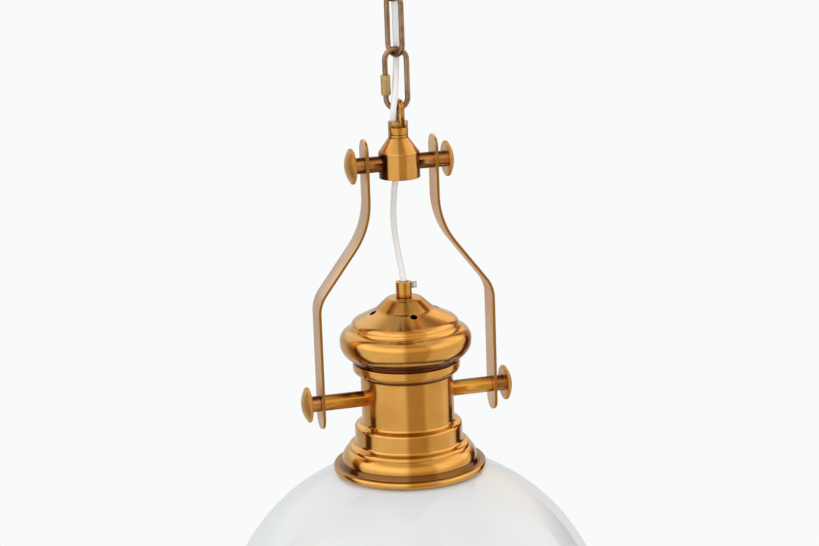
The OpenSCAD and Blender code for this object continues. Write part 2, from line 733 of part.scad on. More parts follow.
module cord_grip() {
    color(brass) at_rim() difference() {
        translate([0, 0, crown_top + 2 * seat]) cylinder(d = grip_d, h = grip_h - 2 * seat);
        translate([0, 0, crown_top - cut]) cylinder(d = grip_bore, h = grip_h + 2 * cut);
        translate([0, 0, crown_top - cut]) cylinder(d = tube_d + 2 * slip, h = tube_top - crown_top + seat + cut);
        translate([0, 0, grip_screw_z]) rotate([0, 90, 0]) cylinder(d = grip_screw_d + 2 * slip, h = grip_d);
    }
}

module cord_grip_screw() {
    color(clear_plastic) at_rim() translate([cable_d / 2 + 0.1, 0, grip_screw_z]) rotate([0, 90, 0]) difference() {
        union() {
            cylinder(d = grip_screw_d, h = grip_d / 2 - cable_d / 2 + 1);
            translate([0, 0, grip_d / 2 - cable_d / 2 + 0.2]) cylinder(d = grip_screw_head_d, h = 3.4);
        }
        translate([-0.4, -grip_screw_head_d, grip_d / 2 - cable_d / 2 + 2.4]) cube([0.8, 2 * grip_screw_head_d, 3]);
    }
}

// The cap's outline from its foot to its crown, moved inwards by wall
waist_r = 3.4;
function cap_line(wall) = concat(
    arc(cap_d / 2 - roll_r, roll_r + 2, roll_r - wall, -80, 0, 7),
    arc(cap_d / 2 - roll_top_r, roll_r + 2 + roll_band, roll_top_r - wall, 0, 58, 4),
    arc(cap_d / 2 - 1.5, roll_r + 2 + roll_band + 8.6, waist_r + wall, 250, 192, 3),
    arc(shoulder_d / 2 - shoulder_r, cap_h - crown_rise - shoulder_r, shoulder_r - wall, 11, 85, 9),
    arc(crown_d / 2 + 7.2, cap_h + 0.4, cove_r + wall, 262, 207, 5),
    arc(crown_d / 2 - crown_r, cap_h - crown_r, crown_r - wall, 25, 90, 5));

module vent_cap() {
    foot_r = cap_line(0)[0][0];
    lip_r = foot_r - lip_w;
    color(brass) at_rim() translate([0, 0, cap_seat + seat]) difference() {
        rotate_extrude() polygon(concat([[lip_r, 0], [foot_r, 0]], cap_line(0), [[0, cap_h], [0, cap_h - cap_wall]],
            reverse(cap_line(cap_wall)), [[foot_r - cap_wall, cap_wall], [lip_r, cap_wall]]));
        for (i = [0:vents - 1]) rotate([0, 0, 360 * i / vents]) translate([vent_circle_r, 0, cap_h / 2])
            cylinder(d = vent_d, h = cap_h);
        translate([0, 0, cap_h / 2]) cylinder(d = tube_d + 2 * slip, h = cap_h);
    }
}

module neck_ring() {
    low = cap_seat - neck_ring_h;
    top_r = barrel_d / 2 + neck_ring_reach;
    low_r = barrel_d / 2 + neck_ring_foot;
    barrel_r = barrel_d / 2 + slip;
    in_r = barrel_r - lip_w + 1;
    color(brass) at_rim() rotate_extrude() polygon([[barrel_r, low], [low_r - 0.3, low], [low_r, low + 0.3],
        [top_r - 0.2, cap_seat - 0.5], [top_r - 0.5, cap_seat], [in_r, cap_seat],
        [in_r, body_top + seat], [barrel_r, body_top + seat]]);
}

// The body's outline above its rolled rim, moved inwards by wall
function body_line(wall) = concat(
    [[bead_mid_r - 1.5 - wall, 0], [flare_foot_d / 2 + 1.2 - wall, flare_lift - 1.5]],
    arc(flare_mid_r, flare_lift, flare_r - wall, 2, acos((flare_top_d / 2 - flare_mid_r) / flare_r), 7),
    arc(flare_top_d / 2 - lower_shoulder_r, flare_top_z, lower_shoulder_r - wall, 0, 90, 4),
    [[lower_barrel_d / 2 - wall, lower_barrel_z - wall]],
    arc(lower_barrel_d / 2 - upper_shoulder_r, upper_shoulder_z, upper_shoulder_r - wall, 0, 90, 5),
    [[barrel_d / 2 - wall, barrel_z - wall]],
    [[barrel_d / 2 - wall, body_top - wall]]);

module lamp_body() {
    lip_r = barrel_d / 2 - lip_w;
    color(brass) at_rim() difference() {
        union() {
            rotate_extrude() polygon(concat(body_line(0), [[lip_r, body_top], [lip_r, body_top - body_wall]],
                reverse(body_line(body_wall))));
            rotate_extrude() translate([bead_mid_r, 0]) circle(r = bead_r);
        }
        translate([-barrel_d, 0, rim_to_pin]) rotate([0, 90, 0]) cylinder(d = stud_d + 0.3, h = 2 * barrel_d);
    }
}

// Lampholder and bulb

insert_r = holder_d / 2 - holder_wall - 0.2;
insert_low = -holder_mouth + holder_wall;
socket_d = bulb_base_d + socket_play;
thread_wall = 0.5;
socket_top = insert_low + 28;
cap_r = holder_d / 2 + slip + holder_wall;

module holder_cap() {
    neck_r = tube_d / 2 + 2.6;
    shoulder = holder_top - 18;
    color(steel) at_rim() rotate_extrude() polygon(concat(
        [[tube_d / 2 + slip, holder_top], [neck_r, holder_top], [neck_r, holder_top - 8]],
        arc(cap_r - 9, shoulder, 9, 80, 0, 5),
        [[cap_r, holder_cap_edge], [cap_r - holder_wall, holder_cap_edge]],
        arc(cap_r - 9, shoulder, 9 - holder_wall, 0, 80, 5),
        [[neck_r, holder_top - 8 - holder_wall], [tube_d / 2 + slip, holder_top - 8 - holder_wall]]));
}

module holder_shell() {
    r = holder_d / 2;
    color(steel) at_rim() rotate_extrude() polygon([[r, -holder_mouth], [r, holder_cap_edge + 4],
        [r - holder_wall, holder_cap_edge + 4], [r - holder_wall, -holder_mouth + holder_wall - seat],
        [r - 3, -holder_mouth + holder_wall - seat], [r - 3, -holder_mouth]]);
}

module holder_insert() {
    top = holder_cap_edge + 6;
    color(porcelain) at_rim() difference() {
        translate([0, 0, insert_low]) cylinder(r = insert_r, h = top - insert_low);
        translate([0, 0, insert_low - cut]) cylinder(d = socket_d + 2 * (thread_wall + slip), h = socket_top - insert_low + cut);
        for (x = [-1, 1]) translate([x * 6, 0, top - 7]) cylinder(d = core_d + 0.4, h = 7 + cut);
        for (y = [-1, 1]) translate([0, y * 8, top - 6]) cylinder(d = 3 + 2 * slip, h = 6 + cut);
    }
}

module holder_thread() {
    color(brass) at_rim() translate([0, 0, insert_low + 2.5]) ring(socket_d + 2 * thread_wall, socket_d, 21);
}

module centre_contact() {
    color(brass) at_rim() translate([0, 0, socket_top]) {
        translate([-9, -2.5, -0.6]) cube([18, 5, 0.6]);
        translate([0, 0, -1.2]) cylinder(d = 4, h = 1);
    }
}

module holder_screws() {
    color(steel) at_rim() for (y = [-1, 1]) translate([0, y * 8, holder_cap_edge]) {
        cylinder(d = 3, h = 6.2);
        translate([0, 0, 6.1]) cylinder(d = 5.6, h = 1.8);
    }
}

bulb_tip = socket_top - 1.5;
bulb_base_h = 22.5; // height of the screw base's shell
bulb_base_z = bulb_tip - 2.4 - bulb_base_h;
bulb_mid_z = bulb_tip - bulb_len + bulb_d / 2;

module bulb_base() {
    color(steel) at_rim() translate([0, 0, bulb_base_z]) difference() {
        cylinder(d = bulb_base_d, h = bulb_base_h);
        translate([0, 0, -cut]) cylinder(d = bulb_base_d - 2 * bulb_wall, h = bulb_base_h - bulb_wall + cut);
    }
}

module bulb_contact() {
    color(porcelain) at_rim() translate([0, 0, bulb_base_z + bulb_base_h]) {
        cylinder(r1 = bulb_base_d / 2 - 3.6, r2 = 5, h = 1.8);
        cylinder(d = 8, h = 2.4);
    }
}

bulb_wall = 1;
function bulb_line(wall) = concat(
    [[bulb_base_d / 2 - 0.4 - wall, bulb_base_z], [bulb_base_d / 2 + 1.2 - wall, bulb_base_z - 12]],
    arc(0, bulb_mid_z, bulb_d / 2 - wall, 35, -90, 14));

module bulb_glass() {
    color("white") at_rim() rotate_extrude() polygon(concat(bulb_line(0), reverse(bulb_line(bulb_wall))));
}

// Cable inside the gallery: its sheath ends below the tube, and its cores go to the socket
lamp_cable_route = [for (z = [grip_top, grip_top - 25, grip_top - 50, grip_top - 75, tube_low - 1]) [0, 0, rim_z + z]];

module lamp_cable() {
    color(clear_plastic) tube_along(lamp_cable_route, cable_d);
}

module lamp_cores() {
    insert_top = rim_z + holder_cap_edge + 6;
    start = rim_z + tube_low - 1;
    color(steel) for (x = [-1, 1]) tube_along([[x * 1.1, 0, start], [x * 1.8, 0, start - 4], [x * 5, 0, insert_top + 5],
        [x * 6, 0, insert_top], [x * 6, 0, insert_top - 6]], core_d, 8);
}

// Glass and its seats

module rim_gasket() {
    gasket_r = rim_gasket_d / 2;
    mid_r = bead_mid_r - bead_r - gasket_r - 0.05;
    mid_z = glass_mid_z + sqrt(pow(glass_r + gasket_r + 0.1, 2) - pow(mid_r, 2));
    color(rubber) at_rim() rotate_extrude() translate([mid_r, mid_z]) circle(r = gasket_r);
}

glass_in_r = glass_r - glass_t;
function under_glass(r) = glass_mid_z + sqrt(pow(glass_in_r, 2) - pow(r, 2)) - 0.1;

module shade_gasket() {
    in_r = neck_hole_d / 2 + 0.2;
    out_r = shade_ring_d / 2;
    color(rubber) at_rim() rotate_extrude() polygon([[in_r, -shade_ring_drop], [out_r, -shade_ring_drop],
        [out_r, under_glass(out_r)], [in_r, under_glass(in_r)]]);
}

module shade_ring() {
    bore_r = holder_d / 2 + 2 * slip;
    color(steel) at_rim() rotate_extrude() polygon([[bore_r, -shade_ring_drop - seat], [shade_ring_d / 2, -shade_ring_drop - seat],
        [shade_ring_d / 2, -shade_ring_drop - shade_ring_t], [bore_r + 2.4, -shade_ring_drop - shade_ring_t],
        [bore_r + 2.4, -shade_ring_drop - shade_ring_t - shade_ring_h],
        [bore_r, -shade_ring_drop - shade_ring_t - shade_ring_h]]);
}

module glass_shade() {
    hole = neck_hole_d / 2;
    edge = glass_t / 2;
    color([0.95, 0.95, 0.94]) at_rim() rotate_extrude($fn = 96) polygon(concat(
        arc(0, glass_mid_z, glass_r, acos(hole / glass_r), 0, 24),
        arc(glass_r - edge, glass_mid_z - skirt_h + edge, edge, 0, -180, 6),
        arc(0, glass_mid_z, glass_in_r, 0, acos(hole / glass_in_r), 24)));
}

// Free stretches of the cable. The upper one hangs beside the chain, behind it, then passes
// forwards through the quick link. The lower one bows between the hub and the cord grip.
// A point's third number is its share of the way down from one end to the other.
upper_points = [[2.5, 3.6, 0.026], [2.4, 6, 0.061], [2.5, 6.9, 0.123], [2.6, 6.9, 0.207], [2.6, 6.9, 0.29],
    [2.6, 6.9, 0.373], [2.7, 6.7, 0.457], [2.7, 6.7, 0.54], [2.7, 6.7, 0.624], [2.1, 5.9, 0.693], [0.6, 2.9, 0.756],
    [-1.1, -0.8, 0.818], [-3, -4, 0.881], [-4.3, -5, 0.93], [-4.2, -3.2, 0.965], [-3.4, -0.9, 0.992]];
lower_points = [[-3.2, 4, 0.11], [-2.8, 9.4, 0.25], [-2.3, 13, 0.39], [-1.7, 13.8, 0.53], [-1, 11.8, 0.67],
    [-0.4, 7.4, 0.8], [-0.1, 2.6, 0.92]];
function hung(first, points, last) =
    concat([first], [for (p = points) [p[0], p[1], first[2] + p[2] * (last[2] - first[2])]], [last]);
upper_route = hung(cable_top, upper_points, cable_low);
lower_route = hung(hub_mouth, lower_points, [0, 0, rim_z + grip_top]);

module cable_upper() {
    color(clear_plastic) tube_along(upper_route, cable_d);
}

module cable_lower() {
    color(clear_plastic) tube_along(lower_route, cable_d);
}

ceiling_bracket();
canopy_cup();
canopy_eye();
canopy_lock_nut();
canopy_clamp_nut();
terminal_block();
terminal_clamps();
block_screw();
canopy_cable();
canopy_cores();
chain_link_upper();
chain_link_lower();
quick_link();
quick_link_nut();
hub_eye();
hub_collar();
hub_body();
hub_cable();
upper_spacer(-1);  // upper_spacer_left
upper_spacer(1);  // upper_spacer_right
upper_knob(-1);  // upper_knob_left
upper_knob(1);  // upper_knob_right
strap(-1);  // strap_left
strap(1);  // strap_right
lower_spacer(-1);  // lower_spacer_left
lower_spacer(1);  // lower_spacer_right
lower_knob(-1);  // lower_knob_left
lower_knob(1);  // lower_knob_right
pin_nut(-1);  // pin_nut_left
pin_nut(1);  // pin_nut_right
bridge_plate();
lamp_tube();
tube_nut_upper();
tube_nut_lower();
cord_grip();
cord_grip_screw();
vent_cap();
neck_ring();
lamp_body();
holder_cap();
holder_shell();
holder_insert();
holder_thread();
centre_contact();
holder_screws();
lamp_cable();
lamp_cores();
rim_gasket();
shade_gasket();
shade_ring();
glass_shade();
bulb_glass();
bulb_base();
bulb_contact();
cable_upper();
cable_lower();
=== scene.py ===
import math

import bmesh
import bpy
import numpy as np
from mathutils import Matrix


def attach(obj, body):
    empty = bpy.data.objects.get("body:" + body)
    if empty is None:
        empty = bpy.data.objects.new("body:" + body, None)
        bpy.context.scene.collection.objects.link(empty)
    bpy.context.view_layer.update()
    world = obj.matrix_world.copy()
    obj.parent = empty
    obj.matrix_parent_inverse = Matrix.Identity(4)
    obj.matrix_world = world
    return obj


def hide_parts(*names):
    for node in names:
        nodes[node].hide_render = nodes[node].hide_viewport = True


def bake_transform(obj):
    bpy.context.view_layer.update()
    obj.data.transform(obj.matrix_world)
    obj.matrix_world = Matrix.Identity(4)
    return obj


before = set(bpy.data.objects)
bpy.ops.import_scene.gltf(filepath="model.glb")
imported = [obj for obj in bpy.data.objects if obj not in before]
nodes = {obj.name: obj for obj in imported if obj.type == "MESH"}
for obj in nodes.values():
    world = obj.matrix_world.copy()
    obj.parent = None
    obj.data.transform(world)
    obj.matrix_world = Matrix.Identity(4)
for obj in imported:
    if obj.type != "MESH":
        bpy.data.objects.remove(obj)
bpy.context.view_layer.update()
scene = bpy.context.scene


# Camera
# The photographer stood about 1.7 m from the lamp and to its left, level with the chain,
# and looked a little down on the gallery through a long lens.
CAMERA_AT = np.array([-0.4630, -1.6358, 0.1157])
HEADING = np.array([0.27502, 0.96144, 0.0])
PITCH = math.radians(13.647)
ROLL = math.radians(-2.007)
LENS_MM = 103.3
SENSOR_MM = 36.0

look = math.cos(PITCH) * HEADING - math.sin(PITCH) * np.array([0.0, 0.0, 1.0])
level = np.array([HEADING[1], -HEADING[0], 0.0])
upright = np.cross(level, look)
camera = bpy.data.objects.new("camera", bpy.data.cameras.new("camera"))
scene.collection.objects.link(camera)
camera.data.sensor_width = SENSOR_MM
camera.data.lens = LENS_MM
stance = np.eye(4)
stance[:3, 0] = math.cos(ROLL) * level + math.sin(ROLL) * upright
stance[:3, 1] = math.cos(ROLL) * upright - math.sin(ROLL) * level
stance[:3, 2] = -look
stance[:3, 3] = CAMERA_AT
camera.matrix_world = Matrix(stance.tolist())
scene.camera = camera


# Cable
# A round clear vinyl flex with two silvery stranded cores twisted together inside it. It hangs
# beside the chain, passes through the quick link and the hub, and bows down to the cord grip.
CABLE_D = 4.6
CORE_D = 1.45
CORE_TWIST = 21.0  # one full turn of the two cores about each other
CANOPY_FOOT = -38.3
HUB_EYE_BASE = -182.077
HUB_FOOT = -224.077
GRIP_TOP = -303.377


def linear(hex_colour):
    """An sRGB colour such as "c68b3c" as linear RGBA."""
    s = np.array([int(hex_colour[i:i + 2], 16) for i in (0, 2, 4)]) / 255
    rgb = np.where(s <= 0.04045, s / 12.92, ((s + 0.055) / 1.055) ** 2.4)
    return (*rgb.tolist(), 1.0)


def add(tree, kind, settings=None, **sockets):
    """One node: settings are its own properties, sockets are values or the outputs joined to it."""
    node = tree.nodes.new(kind)
    for key, value in (settings or {}).items():
        setattr(node, key, value)
    for key, value in sockets.items():
        name = key.replace("_", " ")
        socket = node.inputs[int(key[1:])] if key[1:].isdigit() else node.inputs[name]
        if isinstance(value, bpy.types.NodeSocket):
            tree.links.new(value, socket)
        else:
            socket.default_value = value
    return node


def shader(name):
    """A new material's tree with its Principled shader, joined to the output."""
    material = bpy.data.materials.new(name)
    material.use_nodes = True
    return material, material.node_tree, material.node_tree.nodes["Principled BSDF"]


def surface(name, grid, material, around=True, capped=False, sharp=35):
    """A mesh through a grid of points in mm: rows along, columns round. Points that meet are
    merged, faces point outwards, and edges that turn more than sharp degrees stay crisp."""
    rows, columns = grid.shape[:2]
    index = np.arange(rows * columns).reshape(rows, columns)
    across = np.roll(index, -1, axis=1) if around else index[:, 1:]
    here = index if around else index[:, :-1]
    quads = np.stack([here[:-1], across[:-1], across[1:], here[1:]], axis=-1).reshape(-1, 4)
    faces = quads.tolist()
    if capped:
        faces += [index[0, ::-1].tolist(), index[-1].tolist()]
    mesh = bpy.data.meshes.new(name)
    mesh.from_pydata((grid.reshape(-1, 3) / 1000).tolist(), [], faces)
    form = bmesh.new()
    form.from_mesh(mesh)
    bmesh.ops.remove_doubles(form, verts=form.verts, dist=1e-7)
    bmesh.ops.recalc_face_normals(form, faces=form.faces)
    form.to_mesh(mesh)
    form.free()
    mesh.shade_smooth()
    mesh.set_sharp_from_angle(angle=math.radians(sharp))
    piece = bpy.data.objects.new(name, mesh)
    scene.collection.objects.link(piece)
    mesh.materials.append(material)
    return piece


def frames(line):
    """Unit tangent, side and up vectors along a line of points, with the side kept near X."""
    along = np.gradient(line, axis=0)
    along /= np.linalg.norm(along, axis=1, keepdims=True)
    side = np.cross(np.cross(along, [1.0, 0.13, 0.0]), along)
    side /= np.linalg.norm(side, axis=1, keepdims=True)
    return along, side, np.cross(along, side)


def tube(line, radius, columns=24):
    """A round tube's grid: line + radius * (cos a * side + sin a * up)."""
    _, side, up = frames(line)
    angle = np.linspace(0, 2 * np.pi, columns, endpoint=False)[None, :, None]
    reach = np.broadcast_to(np.asarray(radius, float).reshape(-1, 1, 1), (len(line), columns, 1))
    return line[:, None] + reach * (np.cos(angle) * side[:, None] + np.sin(angle) * up[:, None])


def smooth_line(points, step=1.0):
    """A cubic (Catmull-Rom) curve through the points, at even steps of about step mm."""
    p = np.asarray(points, float)
    ends = np.vstack([2 * p[0] - p[1], p, 2 * p[-1] - p[-2]])
    t = np.linspace(0, 1, 24, endpoint=False)[None, :, None]
    a, b, c, d = (ends[i:len(ends) - 3 + i][:, None] for i in range(4))
    curve = 0.5 * (2 * b + (c - a) * t + (2 * a - 5 * b + 4 * c - d) * t ** 2 + (3 * b - a - 3 * c + d) * t ** 3)
    dense = np.vstack([curve.reshape(-1, 3), p[-1:]])
    run = np.r_[0, np.cumsum(np.linalg.norm(np.diff(dense, axis=0), axis=1))]
    even = np.linspace(0, run[-1], int(run[-1] / step) + 1)
    return np.stack([np.interp(even, run, dense[:, i]) for i in range(3)], axis=1)


def hung(first, points, last):
    """Route points from first to last: each point's third number is its share of the way down."""
    middle = np.array(points, float)
    middle[:, 2] = first[2] + middle[:, 2] * (last[2] - first[2])
    return np.vstack([first, middle, last])


# Clear vinyl: glossy and a little milky, so the cores only show faintly through it.
clear_vinyl, tree, vinyl = shader("clear vinyl sheath")
vinyl.inputs["Base Color"].default_value = linear("fafaf8")
vinyl.inputs["IOR"].default_value = 1.45
vinyl.inputs["Transmission Weight"].default_value = 0.05
place = add(tree, "ShaderNodeTexCoord")
haze = add(tree, "ShaderNodeTexNoise", Vector=place.outputs["Object"], Scale=260.0, Detail=2.0)
gloss = add(tree, "ShaderNodeMapRange", Value=haze.outputs["Fac"], To_Min=0.12, To_Max=0.3)
tree.links.new(gloss.outputs["Result"], vinyl.inputs["Roughness"])

# Tinned copper strands: bright grey metal with fine twisted wires along each core.
tinned_strands, tree, strands = shader("tinned copper strands")
strands.inputs["Metallic"].default_value = 0.0
place = add(tree, "ShaderNodeTexCoord")
wires = add(tree, "ShaderNodeTexWave", {"bands_direction": "DIAGONAL"}, Vector=place.outputs["UV"], Scale=3.0, Distortion=0.6)
tone = add(tree, "ShaderNodeValToRGB", Fac=wires.outputs["Fac"])
tone.color_ramp.elements[0].color = linear("d6d7d4")
tone.color_ramp.elements[1].color = linear("fafaf6")
tree.links.new(tone.outputs["Color"], strands.inputs["Base Color"])
rough = add(tree, "ShaderNodeMapRange", Value=wires.outputs["Fac"], To_Min=0.45, To_Max=0.25)
tree.links.new(rough.outputs["Result"], strands.inputs["Roughness"])


def twisted_cores(line, start):
    """Two helices about the line, half a turn apart; start is the run before this stretch."""
    _, side, up = frames(line)
    run = start + np.r_[0, np.cumsum(np.linalg.norm(np.diff(line, axis=0), axis=1))]
    turn = (2 * np.pi * run / CORE_TWIST)[:, None]
    swing = 0.95 * (np.cos(turn) * side + np.sin(turn) * up)
    return line + swing, line - swing


def cable_stretch(name, line, start, lasts):
    """One stretch of sheath with its cores, between two bodies."""
    sheath = surface(name, tube(line, CABLE_D / 2, 28), clear_vinyl, capped=lasts)
    cores = []
    for number, core in enumerate(twisted_cores(line, start)):
        cores.append(surface(f"{name}_core_{number + 1}", tube(core, CORE_D / 2, 14), tinned_strands, capped=True))
    for piece in [sheath] + cores:
        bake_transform(piece)
    length = float(np.linalg.norm(np.diff(line, axis=0), axis=1).sum()) / 1000
    return sheath, start + length * 1000


UPPER_POINTS = [[2.5, 3.6, 0.026], [2.4, 6, 0.061], [2.5, 6.9, 0.123], [2.6, 6.9, 0.207], [2.6, 6.9, 0.29],
                [2.6, 6.9, 0.373], [2.7, 6.7, 0.457], [2.7, 6.7, 0.54], [2.7, 6.7, 0.624], [2.1, 5.9, 0.693],
                [0.6, 2.9, 0.756], [-1.1, -0.8, 0.818], [-3, -4, 0.881], [-4.3, -5, 0.93], [-4.2, -3.2, 0.965],
                [-3.4, -0.9, 0.992]]
LOWER_POINTS = [[-3.2, 4, 0.11], [-2.8, 9.4, 0.25], [-2.3, 13, 0.39], [-1.7, 13.8, 0.53], [-1, 11.8, 0.67],
                [-0.4, 7.4, 0.8], [-0.1, 2.6, 0.92]]
upper_line = smooth_line(hung([2.6493, 1.1795, CANOPY_FOOT], UPPER_POINTS, [-2.9, 0, HUB_EYE_BASE]))
lower_line = smooth_line(hung([-3, 0, HUB_FOOT], LOWER_POINTS, [0, 0, GRIP_TOP]))

upper_cuts = [0] + [int(np.argmax(upper_line[:, 2] < z)) for z in (-71, -111, -149)] + [len(upper_line) - 1]
run = 0.0
upper_sheaths = []
for i in range(4):
    stretch = upper_line[upper_cuts[i]:upper_cuts[i + 1] + 1]
    sheath, run = cable_stretch(f"cable_by_chain_{i + 1}", stretch, run, False)
    upper_sheaths.append(sheath)
for sheath in upper_sheaths:
    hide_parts("cable_upper")

lower_cut = int(np.argmax(lower_line[:, 2] < -264))
run = 0.0
hub_stretch, run = cable_stretch("cable_below_hub_1", lower_line[:lower_cut + 1], run, False)
grip_stretch, run = cable_stretch("cable_below_hub_2", lower_line[lower_cut:], run, False)
for sheath in (hub_stretch, grip_stretch):
    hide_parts("cable_lower")


def dress(material, *names):
    """Gives CAD nodes a material in all their slots."""
    for name in names:
        mesh = nodes[name].data
        if not mesh.materials:
            mesh.materials.append(material)
        for slot in range(len(mesh.materials)):
            mesh.materials[slot] = material


dress(clear_vinyl, "canopy_cable", "hub_cable", "lamp_cable")
dress(tinned_strands, "canopy_cores", "lamp_cores")


# Ceiling canopy
# A spun brass cup over a steel bracket that is screwed to the ceiling. A cast eye's stem
# passes through both, holds the cup up with its nuts and lets the cable down beside the chain.
CANOPY_D = 110
CANOPY_H = 34
CANOPY_WALL = 1.2
CANOPY_RIM = 1.5
CANOPY_RIM_H = 3
CANOPY_CORNER_R = 18


def arc(x, y, r, start, stop, steps):
    """Points (x + r cos a, y + r sin a) as a goes from start to stop degrees."""
    a = np.radians(np.linspace(start, stop, steps + 1))
    return np.stack([x + r * np.cos(a), y + r * np.sin(a)], axis=1)


def eased(profile, cut=0.3, steps=4):
    """A closed profile with its sharp corners rounded: each corner P between its neighbours
    becomes the curve (1-t)^2 A + 2t(1-t) P + t^2 B, with A and B cut mm away from P."""
    p = np.asarray(profile, float)
    back, ahead = np.roll(p, 1, axis=0) - p, np.roll(p, -1, axis=0) - p
    far_back, far_ahead = np.linalg.norm(back, axis=1), np.linalg.norm(ahead, axis=1)
    bend = np.sum(back * ahead, axis=1) / np.maximum(far_back * far_ahead, 1e-9)
    reach = np.where(bend > -0.95, cut, 0)
    a = p + back * (np.minimum(reach / far_back, 0.45))[:, None]
    b = p + ahead * (np.minimum(reach / far_ahead, 0.45))[:, None]
    t = np.linspace(0, 1, steps)[None, :, None]
    q = ((1 - t) ** 2 * a[:, None] + 2 * t * (1 - t) * p[:, None] + t ** 2 * b[:, None]).reshape(-1, 2)
    keep = np.linalg.norm(q - np.roll(q, 1, axis=0), axis=1) > 1e-6
    return q[keep]


def turned(name, profile, material, axis="z", foot=0.0, columns=160, sharp=35):
    """A closed profile of (radius, height) swung round the Z or X axis from height foot."""
    q = np.vstack([profile, profile[:1]])
    angle = np.linspace(0, 2 * np.pi, columns, endpoint=False)[None, :]
    radius, height = q[:, :1], foot + q[:, 1:] + 0 * angle
    one, two = radius * np.cos(angle), radius * np.sin(angle)
    order = [one, two, height] if axis == "z" else [height, one, two]
    return surface(name, np.stack(order, axis=-1), material, sharp=sharp)


def stands_for(piece, body, slot, *names):
    """The piece replaces CAD nodes and rides on their body; slot is not used."""
    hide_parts(*names)
    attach(piece, body)


